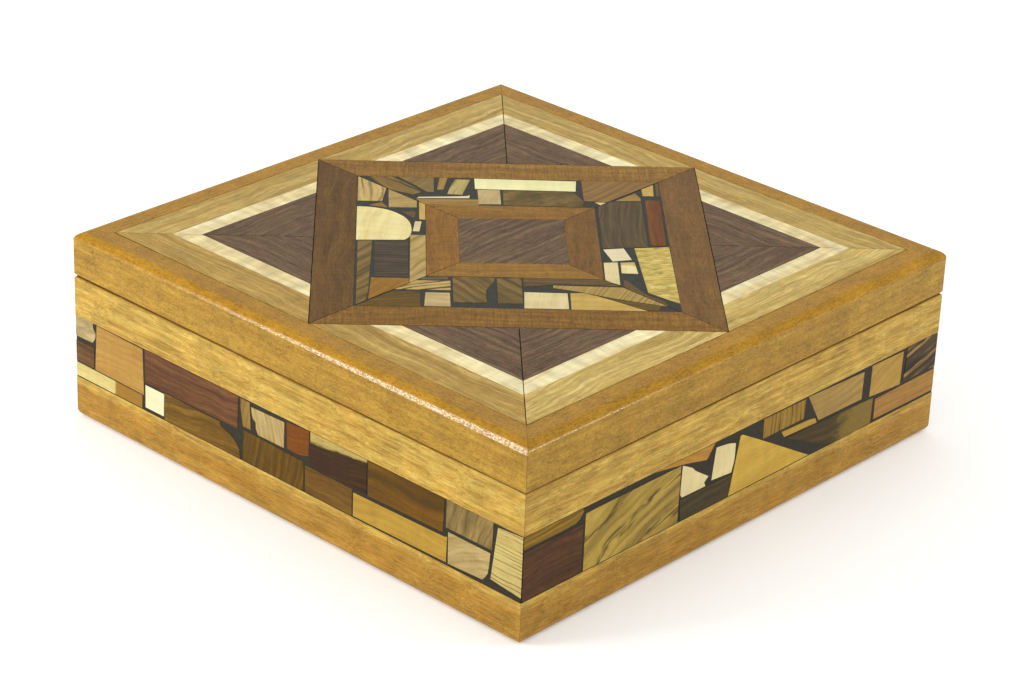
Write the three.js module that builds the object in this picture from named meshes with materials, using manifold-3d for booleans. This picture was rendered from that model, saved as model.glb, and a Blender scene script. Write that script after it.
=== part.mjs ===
// Mosaic jewelry box: a square wooden box with a thick lift-off lid, closed.
// Millimetres, +Z up, origin at the middle of the underside. The front faces -Y.

import * as THREE from "three";
import * as BufferGeometryUtils from "three/addons/utils/BufferGeometryUtils.js";
import Module from "manifold-3d";

const wasm = await Module();
wasm.setup();

// Driving dimensions of the box
const boxSide = 230;
const wallThickness = 14;
const baseHeight = 58.3;
const lidHeight = 17.9;
const bottomEdgeRadius = 3;
const baseTopBevel = 0.9;
const lidBottomBevel = 1.2;
const lidTopRadius = 4;
const arcSteps = 4;

// Lip inside the seam, on the base, that locates the lid
const lipThickness = 5;
const lipHeight = 4;
const lipClearance = 0.4;

// Bottom panel in its grooves
const bottomPanelThickness = 5;
const bottomPanelHeight = 5;
const grooveDepth = 5;
const grooveClearance = 0.3;

// Mosaic bands of the base
const bandFoot = 16.7;
const bandHeight = 25.5;
const inlayThickness = 3;
const tileBed = 1;
const fillerRecess = 0.2;
const tileGap = 0.3;
const fillerLine = 1;

// Lid top, measured inwards from its outer edge
const lidFrameWidth = 10.6;
const lidPanelThickness = 4.5;
const lidPanelClearance = 0.3;
const tanWidth = 15.4;
const creamWidth = 7.6;

// Turned square on the lid, measured inwards from its own edge
const squareFrameWidth = 15.2;
const ringWidth = 26.3;
const smallFrameWidth = 12.1;

// Gap at every mitre and round the turned square
const mitreGap = 0.3;

// The mosaics are drawn by hand, in millimetres, on bands of these sizes, and stretch with the real ones.
const drawnBand = { length: 230, height: 25.5 };
const drawnRing = { outer: 58.6, inner: 32.3 };

// Derived places
const half = boxSide / 2;
const boxHeight = baseHeight + lidHeight;
const bandTop = bandFoot + bandHeight;
const inlayFoot = boxHeight - inlayThickness;
const lidLedge = inlayFoot - lidPanelThickness;
const borderHalf = half - lidFrameWidth;
const creamHalf = borderHalf - tanWidth;
const walnutHalf = creamHalf - creamWidth;
const squareHalf = borderHalf / Math.SQRT2 - mitreGap / 2;
const ringOuter = squareHalf - squareFrameWidth;
const ringInner = ringOuter - ringWidth;
const centreHalf = ringInner - smallFrameWidth;
const endSetback = mitreGap / Math.SQRT2;

// Woods by colour, and the black filler
const woodColours = {
  golden: 0xb98f45,
  tan: 0xb79a5c,
  cream: 0xe6d394,
  walnut: 0x5d463a,
  midBrown: 0x86602f,
  redBrown: 0x6e4a38,
  darkBrown: 0x4a3628,
  padauk: 0x8f5418,
  orangeTan: 0xc8974c,
  paleGrey: 0xb5a274,
  paleYellow: 0xf0dd94,
  white: 0xf4ecc8,
  oliveBrown: 0x77591f,
  beige: 0xc4aa74,
  yellow: 0xd6bf72,
  yellowOrange: 0xc79b3c,
  figured: 0xa88d45,
  salmon: 0xb97f42,
  greenGrey: 0x443b2a,
  darkOlive: 0x5a4a2a,
  pinkTan: 0xab7d49,
  ebony: 0x43382f,
  filler: 0x2f2e31,
};

function wood(colourName, roughness = 0.45) {
  return new THREE.MeshStandardMaterial({ color: woodColours[colourName], roughness, metalness: 0 });
}

// Hand-drawn outlines. A tile with a name is a piece of its own, and the others are fused with the filler.
function tile(colourName, outline, name = null) {
  return { colourName, outline, name };
}

// Front band: x from the face's middle, height above the band's foot
const frontTiles = [
  tile(
    "paleGrey",
    [
      [-115, 17], [-105.3, 17.2], [-103.8, 19.5], [-103.5, 21.5], [-104.8, 23.5], [-104.9, 25.5],
      [-115, 25.5],
    ],
  ),
  tile("redBrown", [[-115, 6.7], [-104.6, 6.7], [-104.4, 15.3], [-115, 15.2]]),
  tile("orangeTan", [[-104, 6.5], [-76.3, 6.2], [-76.8, 24.9], [-102.7, 25.2]], "front_orange_tan_tile"),
  tile("paleYellow", [[-115, 0.5], [-77.4, 0.4], [-77.2, 5.8], [-115, 6.1]]),
  tile("redBrown", [[-75.5, 11.9], [-25.2, 11.9], [-24.7, 25.3], [-75.6, 25.3]], "front_dark_red_tile"),
  tile("white", [[-75.5, 1.5], [-65.3, 1.5], [-65, 10.8], [-75.4, 10.7]]),
  tile(
    "oliveBrown",
    [
      [-64.8, 0.3], [-23.9, 0.3], [-24.2, 3.2], [-25.8, 5.8], [-28.2, 7.6], [-31.2, 8.8],
      [-34.2, 9.6], [-34.8, 11.2], [-64.8, 11.5],
    ],
    "front_curved_tile",
  ),
  tile("beige", [[-22.2, 14.1], [-18.2, 14.1], [-18.7, 24.9], [-23.7, 25], [-23.4, 20.5]]),
  tile(
    "beige",
    [[-14.2, 13.5], [-0.9, 13.6], [-0.7, 23.9], [-18, 23.4], [-17.2, 19.4], [-15.6, 18.2], [-15.4, 15.6]],
  ),
  tile("padauk", [[0.8, 14], [7, 14], [11.8, 15.3], [12, 25.3], [0.4, 24.5]]),
  tile("oliveBrown", [[-22.2, 0.3], [9.4, 0.3], [9.2, 12], [-22, 12.8]]),
  tile("darkBrown", [[12.6, 13.8], [14.6, 11.7], [40.9, 11.7], [41, 25.3], [12.6, 25.3]]),
  tile("midBrown", [[10.1, 0.3], [33.8, 0.3], [33.8, 10.9], [10.1, 11]]),
  tile("oliveBrown", [[41.6, 11.5], [77.9, 12.2], [78.4, 25.2], [41.5, 25.2]], "front_olive_tile"),
  tile("yellowOrange", [[34.4, 0.6], [79.8, 1.1], [80, 11.2], [78.6, 10.7], [34.4, 9.9]]),
  tile("paleGrey", [[79.3, 14.6], [100.9, 14.6], [101.1, 25.4], [79.3, 25.4]]),
  tile("beige", [[80.7, 1], [97, 1.7], [98.6, 3.8], [99.4, 5.4], [100.2, 13.2], [80.4, 13.2]]),
  tile("yellow", [[100.6, 3.5], [115, 1.9], [115, 25.2], [103.2, 24.4]]),
];

// Right band: distance along the face from its middle, towards the back
const rightTiles = [
  tile(
    "oliveBrown",
    [[-115, 20.4], [-89.5, 20.8], [-86.6, 22.2], [-85.2, 24], [-85.8, 25.2], [-115, 25.4]],
  ),
  tile("redBrown", [[-115, 0.4], [-85.3, 0.4], [-85.2, 19.2], [-115, 19.4]]),
  tile("figured", [[-84.2, 0.3], [-34.9, 0.3], [-34.6, 22.8], [-84.1, 22.8]], "right_figured_tile"),
  tile("salmon", [[-48.5, 25.3], [-33, 22.8], [-20.6, 20], [-16.3, 25.3]]),
  tile(
    "cream",
    [
      [-33.2, 9.7], [-20.3, 9.5], [-21.2, 11.2], [-19, 13], [-26.6, 18], [-28.2, 19.6],
      [-33.7, 22.5], [-34.1, 11.3],
    ],
  ),
  tile("cream", [[-17.2, 10.6], [-6.2, 9.7], [-4.9, 14.5], [-4.7, 21], [-8.8, 22.2], [-15.6, 23.1]]),
  tile("greenGrey", [[-33.6, 0.3], [-7.2, 0.3], [-5.7, 9], [-34.3, 9]]),
  tile("yellowOrange", [[-6.9, 0.4], [39, 0.4], [-0.9, 23], [-2.2, 23]], "right_triangle_tile"),
  tile("oliveBrown", [[10.8, 17], [34.3, 17], [34.9, 24.8], [10.8, 25]]),
  tile("yellowOrange", [[23.4, 13.3], [42.4, 12.5], [41.4, 14.6], [38, 15.3], [21.6, 16]]),
  tile("darkOlive", [[25, 12.4], [52.5, 0.5], [76, 0.5], [76.4, 10.8], [43.4, 12.1]]),
  tile("paleGrey", [[43.4, 13.1], [69.1, 12.8], [69.5, 24], [36.3, 25.1]]),
  tile("orangeTan", [[73.9, 12], [92.9, 10.8], [93.5, 24.5], [74.3, 24.8]]),
  tile("ebony", [[94.9, 11.1], [115, 11.2], [115, 25.3], [96, 25.3]]),
  tile("pinkTan", [[77.8, 1.3], [115, 1], [115, 10.2], [77.8, 9.8]]),
];

// Plainer rows for the two hidden faces. Each column has a width, the lean of its right edge,
// the height of its lower tile (zero for one tall tile) and the woods from below.
const backColumns = [
  [20, 1, 11, "yellow", "redBrown"],
  [31, -1, 0, "oliveBrown"],
  [17, 1, 14, "beige", "padauk"],
  [36, 0, 9, "yellowOrange", "walnut"],
  [24, -1, 16, "darkOlive", "cream"],
  [14, 1, 0, "salmon"],
  [33, -1, 13, "midBrown", "paleGrey"],
  [26, 1, 0, "figured"],
  [12, 0, 12, "white", "redBrown"],
  [17, 0, 15, "orangeTan", "ebony"],
];
const leftColumns = [
  [27, -1, 12, "walnut", "beige"],
  [15, 1, 0, "yellow"],
  [38, 0, 15, "orangeTan", "darkOlive"],
  [22, 1, 10, "cream", "redBrown"],
  [30, -1, 0, "oliveBrown"],
  [12, 0, 14, "padauk", "paleYellow"],
  [25, 1, 11, "paleGrey", "midBrown"],
  [34, -1, 14, "redBrown", "yellowOrange"],
  [27, 0, 0, "beige"],
];

// Strips of the turned square, drawn on its own axes: x to the right, y away from the front corner
const nearTiles = [
  tile("darkBrown", [[-33.6, -33.4], [-24.6, -32.6], [-24.4, -35], [-34.6, -35.8]]),
  tile("beige", [[-36.8, -36.4], [-23.7, -36], [-23.7, -44.1], [-44, -44.1]]),
  tile("oliveBrown", [[-44.8, -45.8], [-34.8, -45.6], [-34.6, -58.4], [-57.4, -58.4]]),
  tile("beige", [[-32.8, -46.4], [-24, -46.4], [-23.9, -57.7], [-33.3, -57.7]]),
  tile(
    "darkOlive",
    [[-22.9, -32.6], [-7.3, -32.8], [-8.3, -37], [-10.8, -43.6], [-10.8, -54], [-22.8, -54.2]],
  ),
  tile("darkOlive", [[-6.8, -33.4], [2.1, -32.8], [2.1, -54.4], [-6.9, -54.4]]),
  tile("redBrown", [[2.8, -32.6], [32.2, -32.6], [37.8, -38], [14, -37.8], [7, -39.2], [2.8, -40]]),
  tile("cream", [[2.8, -44.6], [18.4, -44.9], [18.4, -58], [2.4, -58]]),
  tile("orangeTan", [[19.4, -44.8], [25.4, -44.8], [46.4, -58.3], [19.2, -58.3]]),
  tile(
    "beige",
    [[13.5, -38.4], [38.8, -39], [54, -54], [50.6, -53.2], [36, -48.6], [24, -43.8], [13.5, -40.4]],
  ),
  tile("darkOlive", [[30, -47], [36, -49.2], [51.6, -54.4], [50.4, -57.8], [46.6, -57.6], [38, -52]]),
];
const rightSquareTiles = [
  tile("orangeTan", [[51.6, 44.8], [55.8, 44.8], [56.3, 55.8], [51.5, 51.2]]),
  tile("beige", [[40.8, 39.6], [50.6, 39.8], [50.4, 42.6], [48.7, 47.2]]),
  tile(
    "greenGrey",
    [[33.4, -5], [44.2, -3.8], [50.4, -3], [50.6, 38.8], [38.6, 38.4], [33.6, 34.4]],
    "lid_dark_brown_tile",
  ),
  tile("padauk", [[51.4, -1.6], [57.2, -1.4], [57.9, 40.6], [52.1, 40.6]]),
  tile("midBrown", [[56.8, 44.5], [58.4, 44.5], [58.4, 58], [57.2, 57]]),
  tile(
    "yellow",
    [[44.9, -4.8], [58.1, -2.9], [58.4, -51.6], [48, -43.8], [46.4, -26], [45.2, -12]],
    "lid_yellow_burl_tile",
  ),
  tile("white", [[33.5, -6], [41.2, -4.6], [43.6, -14.6], [36.4, -16.4]]),
  tile("cream", [[33, -17.8], [38.2, -17.2], [38, -36.8], [35, -34.8], [34.2, -34], [32.8, -32.6]]),
  tile("cream", [[39.2, -17.4], [44.4, -16.8], [45.2, -26.8], [39.1, -26.6]]),
  tile("redBrown", [[39.4, -32.8], [40.8, -33.4], [47.4, -45], [53, -50], [54.5, -54.4], [40, -39.8]]),
];
const farTiles = [
  tile("midBrown", [[-54, 58.4], [-45.2, 58.4], [-38, 50.5], [-33.4, 44.4], [-37, 41.5], [-47, 47.5]]),
  tile("oliveBrown", [[-42.6, 58.4], [-29, 58.4], [-29, 44.4], [-31.6, 44.4], [-36.4, 51]]),
  tile("salmon", [[-26.7, 58.3], [-23.6, 58.4], [-25.3, 46.8], [-27.8, 46.8]]),
  tile("yellow", [[-20.6, 57], [-14.8, 57], [-18.2, 42.3], [-23.9, 42.8], [-22.6, 50]]),
  tile("beige", [[-35.5, 38.4], [-15.5, 39.2], [-15.3, 42], [-16.6, 41], [-35, 39.4]]),
  tile("orangeTan", [[-34.4, 35], [-32.4, 32.5], [-12, 32.4], [-12, 38], [-36, 37.8]]),
  tile("paleYellow", [[-13.1, 48.2], [25.8, 47.8], [26.4, 57.6], [-13.2, 58.2]]),
  tile("paleGrey", [[-12, 33.6], [-3.4, 34], [-3.5, 47.4], [-12.2, 47.4]]),
  tile("darkOlive", [[-2.5, 33], [27.6, 33], [28.4, 38.2], [24.6, 47], [-2.3, 47.2]]),
  tile("midBrown", [[28.6, 38.8], [37.6, 38.2], [58, 58.4], [28.4, 58.4]]),
  tile("cream", [[32.8, 37.7], [34.8, 35.2], [37, 37.6]]),
];
const leftSquareTiles = [
  tile("beige", [[-58.2, 34.6], [-48.9, 34.7], [-47.2, 48.5], [-58.2, 58.6]]),
  tile("orangeTan", [[-46.3, 29], [-35.7, 29.3], [-35.6, 35.6], [-46.5, 46.5]]),
  tile("redBrown", [[-54, 30.6], [-46.6, 28.6], [-49, 33.6]]),
  tile(
    "cream",
    [
      [-58.3, -1.6], [-40.3, -0.8], [-38.6, 2], [-37.8, 6], [-37.8, 11], [-38.6, 16], [-40.6, 20.4],
      [-43.4, 23.8], [-47, 26.6], [-52.4, 28.6], [-58.3, 29.2],
    ],
    "lid_cream_round_tile",
  ),
  tile("midBrown", [[-41.8, 25.2], [-36, 25.5], [-36.6, 18.8]]),
  tile("yellow", [[-34.8, 18.2], [-32.5, 18], [-32.5, 32.3], [-34.8, 34.8]]),
  tile("beige", [[-37.3, 7.1], [-34.8, 7.1], [-33.9, 16.2], [-36.4, 16.2]]),
  tile("beige", [[-38.5, -38.5], [-32.5, -32.3], [-32.5, 3.8], [-38.2, 3.6]]),
  tile("ebony", [[-51.2, -33.8], [-38.9, -33.8], [-39, -1.6], [-51.4, -2.2]]),
  tile("oliveBrown", [[-57.7, -2.4], [-57.6, -57.6], [-54.2, -54], [-53, -30], [-52.3, -2.2]]),
  tile("padauk", [[-53.3, -53], [-38.7, -38.5], [-38.7, -34.6], [-52.4, -34.6]]),
];

// Tiles of a plain row, from its columns
function rowTiles(columns) {
  const tiles = [];
  const top = drawnBand.height - fillerLine / 2;
  let x = -drawnBand.length / 2;
  let lean = 0;
  for (const [width, rightLean, split, lowerWood, upperWood] of columns) {
    const edge = (height) => [
      x + (lean * height) / top + fillerLine / 2,
      x + width + (rightLean * height) / top - fillerLine / 2,
    ];
    const block = (colourName, from, to) => {
      const [left, right] = edge(from);
      const [leftTop, rightTop] = edge(to);
      tiles.push(tile(colourName, [[left, from], [right, from], [rightTop, to], [leftTop, to]]));
    };
    if (split === 0) {
      block(lowerWood, fillerLine / 2, top);
    } else {
      block(lowerWood, fillerLine / 2, split);
      block(upperWood, split + fillerLine, top);
    }
    x += width;
    lean = rightLean;
  }
  return tiles;
}

// A drawn point of a band, moved to the real band's size
function bandPoint([x, up]) {
  return [(x * boxSide) / drawnBand.length, (up * bandHeight) / drawnBand.height];
}

// A drawn point of the turned square's ring, moved so that it keeps its share of the ring's width
function ringPoint([x, y]) {
  const reach = Math.max(Math.abs(x), Math.abs(y));
  const share = (reach - drawnRing.inner) / (drawnRing.outer - drawnRing.inner);
  const scale = (ringInner + share * (ringOuter - ringInner)) / reach;
  return [x * scale, y * scale];
}

// The outline moved inwards by a distance, corner by corner. Points run anticlockwise or clockwise.
function insetOutline(points, distance) {
  const turn = THREE.ShapeUtils.area(points.map(([x, y]) => new THREE.Vector2(x, y))) > 0 ? 1 : -1;
  return points.map((point, index) => {
    const here = new THREE.Vector2(...point);
    const before = new THREE.Vector2(...points[(index + points.length - 1) % points.length]);
    const after = new THREE.Vector2(...points[(index + 1) % points.length]);
    const arriving = here.clone().sub(before).normalize();
    const leaving = after.clone().sub(here).normalize();
    const inwardA = new THREE.Vector2(-arriving.y, arriving.x).multiplyScalar(turn);
    const inwardB = new THREE.Vector2(-leaving.y, leaving.x).multiplyScalar(turn);
    const bisector = inwardA.clone().add(inwardB);
    const shift = bisector.multiplyScalar(distance / (1 + inwardA.dot(inwardB)));
    return [here.x + shift.x, here.y + shift.y];
  });
}

function extrudeOutline(points, height) {
  const shape = new THREE.Shape(points.map(([x, y]) => new THREE.Vector2(x, y)));
  return new THREE.ExtrudeGeometry(shape, { depth: height, bevelEnabled: false });
}

// A slab in the front face: the outline stands upright, between two depths measured inwards
function faceSlab(points, fromDepth, toDepth) {
  const geometry = extrudeOutline(points, toDepth - fromDepth);
  geometry.rotateX(Math.PI / 2);
  return geometry.translate(0, toDepth - half, bandFoot);
}

// A slab that lies flat on the lid, between two heights
function flatSlab(points, fromHeight, toHeight) {
  return extrudeOutline(points, toHeight - fromHeight).translate(0, 0, fromHeight);
}

// A straight bar along the front edge of a square, with mitred ends.
// Its profile is given as depth inwards from the edge, and height.
function mitredBar(profile, edgeHalf) {
  const geometry = extrudeOutline(profile, 1);
  const position = geometry.attributes.position;
  for (let i = 0; i < position.count; i += 1) {
    const depth = position.getX(i);
    const height = position.getY(i);
    const side = position.getZ(i) > 0.5 ? 1 : -1;
    position.setXYZ(i, side * (edgeHalf - depth - endSetback), depth - edgeHalf, height);
  }
  return geometry;
}

// Closed mesh to solid and back
function solidOf(geometry) {
  const bare = geometry.clone();
  bare.deleteAttribute("normal");
  bare.deleteAttribute("uv");
  const merged = BufferGeometryUtils.mergeVertices(bare);
  return new wasm.Manifold(
    new wasm.Mesh({
      numProp: 3,
      vertProperties: new Float32Array(merged.attributes.position.array),
      triVerts: new Uint32Array(merged.index.array),
    }),
  );
}

function geometryOf(solid) {
  const mesh = solid.getMesh();
  const geometry = new THREE.BufferGeometry();
  geometry.setAttribute("position", new THREE.BufferAttribute(new Float32Array(mesh.vertProperties), 3));
  geometry.setIndex(new THREE.BufferAttribute(new Uint32Array(mesh.triVerts), 1));
  geometry.computeVertexNormals();
  return geometry;
}

function meshOf(name, geometry, material) {
  const mesh = new THREE.Mesh(geometry, material);
  mesh.name = name;
  return mesh;
}

// Quarter-round from one end angle to the other, as profile points
function arcPoints(centreDepth, centreHeight, radius, fromAngle, toAngle) {
  const points = [];
  for (let i = 0; i <= arcSteps; i += 1) {
    const angle = fromAngle + ((toAngle - fromAngle) * i) / arcSteps;
    points.push([centreDepth + radius * Math.cos(angle), centreHeight + radius * Math.sin(angle)]);
  }
  return points;
}

// Wall profile: outer face at depth 0, with the band's channel, the seam bevel, the lip and the groove
function wallProfile() {
  const lipFace = wallThickness - lipThickness;
  const grooveTop = bottomPanelHeight + bottomPanelThickness + grooveClearance;
  return [
    ...arcPoints(bottomEdgeRadius, bottomEdgeRadius, bottomEdgeRadius, 1.5 * Math.PI, Math.PI),
    [0, bandFoot],
    [inlayThickness, bandFoot],
    [inlayThickness, bandTop],
    [0, bandTop],
    [0, baseHeight - baseTopBevel],
    [baseTopBevel, baseHeight],
    [lipFace, baseHeight],
    [lipFace, baseHeight + lipHeight],
    [wallThickness, baseHeight + lipHeight],
    [wallThickness, grooveTop],
    [wallThickness - grooveDepth, grooveTop],
    [wallThickness - grooveDepth, bottomPanelHeight],
    [wallThickness, bottomPanelHeight],
    [wallThickness, 0],
  ];
}

// Lid rail profile: round top edge, rebate for the lid panel and inlay, rebate over the lip, seam bevel
function railProfile() {
  const lipFace = wallThickness - lipThickness - lipClearance;
  const lipTop = baseHeight + lipHeight + lipClearance;
  return [
    [lidBottomBevel, baseHeight],
    [0, baseHeight + lidBottomBevel],
    ...arcPoints(lidTopRadius, boxHeight - lidTopRadius, lidTopRadius, Math.PI, Math.PI / 2),
    [lidFrameWidth, boxHeight],
    [lidFrameWidth, lidLedge],
    [wallThickness, lidLedge],
    [wallThickness, lipTop],
    [lipFace, lipTop],
    [lipFace, baseHeight],
  ];
}

function rectangleProfile(width, foot, top) {
  return [[0, foot], [width, foot], [width, top], [0, top]];
}

function squareOutline(squareHalfSide) {
  return [
    [-squareHalfSide, -squareHalfSide],
    [squareHalfSide, -squareHalfSide],
    [squareHalfSide, squareHalfSide],
    [-squareHalfSide, squareHalfSide],
  ];
}

// Filler with its offcuts: the filler lies a little under their faces, and the named offcuts are
// pieces of their own that sit in pockets on a bed of filler.
function mosaicPieces(name, tiles, strip, fillerStrip, slab) {
  const bed = inlayThickness - tileBed;
  let filler = solidOf(fillerStrip);
  const stripSolid = solidOf(strip);
  const pieces = [];
  for (const { colourName, outline, name: tileName } of tiles) {
    if (tileName === null) {
      const offcut = solidOf(slab(outline, 0, bed)).intersect(stripSolid);
      filler = filler.add(offcut);
    } else {
      filler = filler.subtract(solidOf(slab(outline, -tileGap, bed)));
      const piece = solidOf(slab(insetOutline(outline, tileGap), 0, bed)).intersect(stripSolid);
      pieces.push(meshOf(tileName, geometryOf(piece), wood(colourName)));
    }
  }
  pieces.push(meshOf(name, geometryOf(filler), wood("filler", 0.35)));
  return pieces;
}

// Mosaic band of one face of the base, built on the front face
function bandMosaic(name, tiles) {
  const whole = rectangleProfile(inlayThickness, bandFoot, bandTop);
  const recessed = whole.map(([depth, height]) => [Math.max(depth, fillerRecess), height]);
  const stretched = tiles.map((entry) => ({ ...entry, outline: entry.outline.map(bandPoint) }));
  return mosaicPieces(name, stretched, mitredBar(whole, half), mitredBar(recessed, half), faceSlab);
}

// One strip of the turned square's ring, near side at turn 0, then right, far and left
function ringMosaic(name, tiles, turn) {
  const angle = (turn * Math.PI) / 2;
  const bar = (top) => mitredBar(rectangleProfile(ringWidth, inlayFoot, top), ringOuter).rotateZ(angle);
  const slab = (points, fromDepth, toDepth) => flatSlab(points, boxHeight - toDepth, boxHeight - fromDepth);
  const stretched = tiles.map((entry) => ({ ...entry, outline: entry.outline.map(ringPoint) }));
  return mosaicPieces(name, stretched, bar(boxHeight), bar(boxHeight - fillerRecess), slab);
}

// Border piece of one lid side, left of the turned square's corner. It is bounded by the mitre
// line and the square's edge, between two distances from the lid's middle.
function borderOutline(outer, inner) {
  const mitreAt = (distance) => [-distance + endSetback, -distance];
  const squareAt = (distance) => [-(borderHalf - distance) - endSetback, -distance];
  const apex = borderHalf / 2 + endSetback;
  if (inner <= apex) {
    return [mitreAt(outer), squareAt(outer), [-borderHalf / 2, -apex]];
  }
  return [mitreAt(outer), squareAt(outer), squareAt(inner), mitreAt(inner)];
}

function mirrored(points) {
  return points.map(([x, y]) => [-x, y]).reverse();
}

const box = new THREE.Group();
const sideNames = ["front", "right", "back", "left"];
const bandTiles = [frontTiles, rightTiles, rowTiles(backColumns), rowTiles(leftColumns)];

// Base walls with their mosaic bands
sideNames.forEach((side, turn) => {
  const face = new THREE.Group();
  face.rotation.z = (turn * Math.PI) / 2;
  face.add(meshOf(`base_wall_${side}`, mitredBar(wallProfile(), half), wood("golden")));
  face.add(...bandMosaic(`base_mosaic_${side}`, bandTiles[turn]));
  box.add(face);
});

const bottomHalf = half - wallThickness + grooveDepth - grooveClearance;
const bottomTop = bottomPanelHeight + bottomPanelThickness;
const bottomPanel = flatSlab(squareOutline(bottomHalf), bottomPanelHeight, bottomTop);
box.add(meshOf("base_bottom_panel", bottomPanel, wood("tan")));

// Lid rails and panel
sideNames.forEach((side, turn) => {
  const rail = meshOf(`lid_rail_${side}`, mitredBar(railProfile(), half), wood("golden"));
  rail.rotation.z = (turn * Math.PI) / 2;
  box.add(rail);
});
const lidPanel = flatSlab(squareOutline(borderHalf - lidPanelClearance), lidLedge, inlayFoot);
box.add(meshOf("lid_panel", lidPanel, wood("tan")));

// Borders of the lid: tan, cream and walnut, each side's in two halves
const borders = [
  ["tan_border", borderHalf - mitreGap, creamHalf, "tan"],
  ["cream_border", creamHalf, walnutHalf, "cream"],
  ["walnut_corner", walnutHalf, 0, "walnut"],
];
sideNames.forEach((side, turn) => {
  const face = new THREE.Group();
  face.rotation.z = (turn * Math.PI) / 2;
  for (const [border, outer, inner, colourName] of borders) {
    const outline = borderOutline(outer, inner);
    const left = flatSlab(outline, inlayFoot, boxHeight);
    const right = flatSlab(mirrored(outline), inlayFoot, boxHeight);
    face.add(meshOf(`${border}_${side}_a`, left, wood(colourName)));
    face.add(meshOf(`${border}_${side}_b`, right, wood(colourName)));
  }
  box.add(face);
});

// Turned square: wide frame, mosaic ring, small frame and centre
const square = new THREE.Group();
square.rotation.z = Math.PI / 4;
const squareSides = ["near", "right", "far", "left"];
const ringTiles = [nearTiles, rightSquareTiles, farTiles, leftSquareTiles];
squareSides.forEach((side, turn) => {
  const wide = mitredBar(rectangleProfile(squareFrameWidth, inlayFoot, boxHeight), squareHalf);
  const small = mitredBar(rectangleProfile(smallFrameWidth, inlayFoot, boxHeight), ringInner);
  const wideFrame = meshOf(`square_frame_${side}`, wide, wood("midBrown"));
  const smallFrame = meshOf(`small_frame_${side}`, small, wood("midBrown"));
  wideFrame.rotation.z = (turn * Math.PI) / 2;
  smallFrame.rotation.z = (turn * Math.PI) / 2;
  square.add(wideFrame, smallFrame);
  square.add(...ringMosaic(`square_mosaic_${side}`, ringTiles[turn], turn));
});
const centre = flatSlab(squareOutline(centreHalf), inlayFoot, boxHeight);
square.add(meshOf("centre_square", centre, wood("walnut")));
box.add(square);

export default box;
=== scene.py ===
"""Mosaic jewelry box: a square wooden keepsake box with a thick lift-off lid.

Bands of wood offcuts in black filler run round the base, and a turned square of them lies on the lid.
Metres, +Z up, origin at the middle of the underside. The front faces -Y. Tile outlines and the wood's
own coordinates are in millimetres.
"""

import math

import bmesh
import bpy
from mathutils import Matrix, Vector, noise


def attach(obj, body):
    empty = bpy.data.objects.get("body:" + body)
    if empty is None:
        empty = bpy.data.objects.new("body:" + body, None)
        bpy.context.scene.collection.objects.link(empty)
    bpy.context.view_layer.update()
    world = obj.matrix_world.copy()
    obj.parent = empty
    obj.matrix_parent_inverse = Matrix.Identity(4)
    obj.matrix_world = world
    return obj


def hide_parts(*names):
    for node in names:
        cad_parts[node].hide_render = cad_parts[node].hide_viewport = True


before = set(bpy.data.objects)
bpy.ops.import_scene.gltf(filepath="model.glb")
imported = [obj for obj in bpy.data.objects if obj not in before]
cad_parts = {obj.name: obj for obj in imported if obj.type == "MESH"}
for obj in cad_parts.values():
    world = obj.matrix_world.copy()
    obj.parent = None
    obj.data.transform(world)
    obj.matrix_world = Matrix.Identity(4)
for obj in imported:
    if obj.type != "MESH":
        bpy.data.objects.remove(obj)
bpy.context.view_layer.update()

MM = 0.001

# Driving dimensions of the box
BOX_SIDE = 230 * MM
WALL_THICKNESS = 14 * MM
BASE_HEIGHT = 58.3 * MM
LID_HEIGHT = 17.9 * MM
BOTTOM_EDGE_RADIUS = 3 * MM
BASE_TOP_BEVEL = 0.7 * MM
LID_TOP_RADIUS = 4 * MM

# Lip that locates the lid, and the grooves of the bottom panel
LIP_THICKNESS = 5 * MM
LIP_HEIGHT = 4 * MM
LIP_CLEARANCE = 0.4 * MM
BOTTOM_PANEL_THICKNESS = 5 * MM
BOTTOM_PANEL_HEIGHT = 5 * MM
GROOVE_DEPTH = 5 * MM
GROOVE_CLEARANCE = 0.3 * MM

# Mosaic bands of the base
BAND_FOOT = 16.7 * MM
BAND_HEIGHT = 25.5 * MM
INLAY_THICKNESS = 3 * MM
FILLER_RECESS = 0.12 * MM
TILE_EDGE = 0.1 * MM

# Lid top, measured inwards from its outer edge
LID_FRAME_WIDTH = 10.6 * MM
LID_PANEL_THICKNESS = 4.5 * MM
TAN_WIDTH = 15.4 * MM
CREAM_WIDTH = 7.6 * MM

# Turned square on the lid, measured inwards from its own edge
SQUARE_FRAME_WIDTH = 15.2 * MM
RING_WIDTH = 26.3 * MM
SMALL_FRAME_WIDTH = 12.1 * MM

# Gaps at the mitres and at one open border joint, and how far edges are eased
MITRE_GAP = 0.3 * MM
CLOSED_MITRE = 0.12 * MM
OPEN_JOINT = 0.4 * MM
STRIP_EDGE = 0.12 * MM
EASED_EDGE = 0.25 * MM
ARRIS_EDGE = 0.15 * MM

# Hand-made unevenness of the long surfaces, and how finely bars and curves are divided
WAVE_DEPTH = 0.06 * MM
WAVE_LENGTH = 38 * MM
BAR_STEPS = 96
WAVY = {"wave": WAVE_DEPTH, "steps": BAR_STEPS}
ARC_STEPS = 10
SMOOTH_ANGLE = math.radians(32)

# How far apart in the wood bars and tiles are cut, in millimetres, and where each kind of bar begins
BAR_SPACING = 500
TILE_SPACING = 25
RAIL_SEED = 4
WIDE_FRAME_SEED = 8
SMALL_FRAME_SEED = 12
RING_SEED = 16

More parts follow.
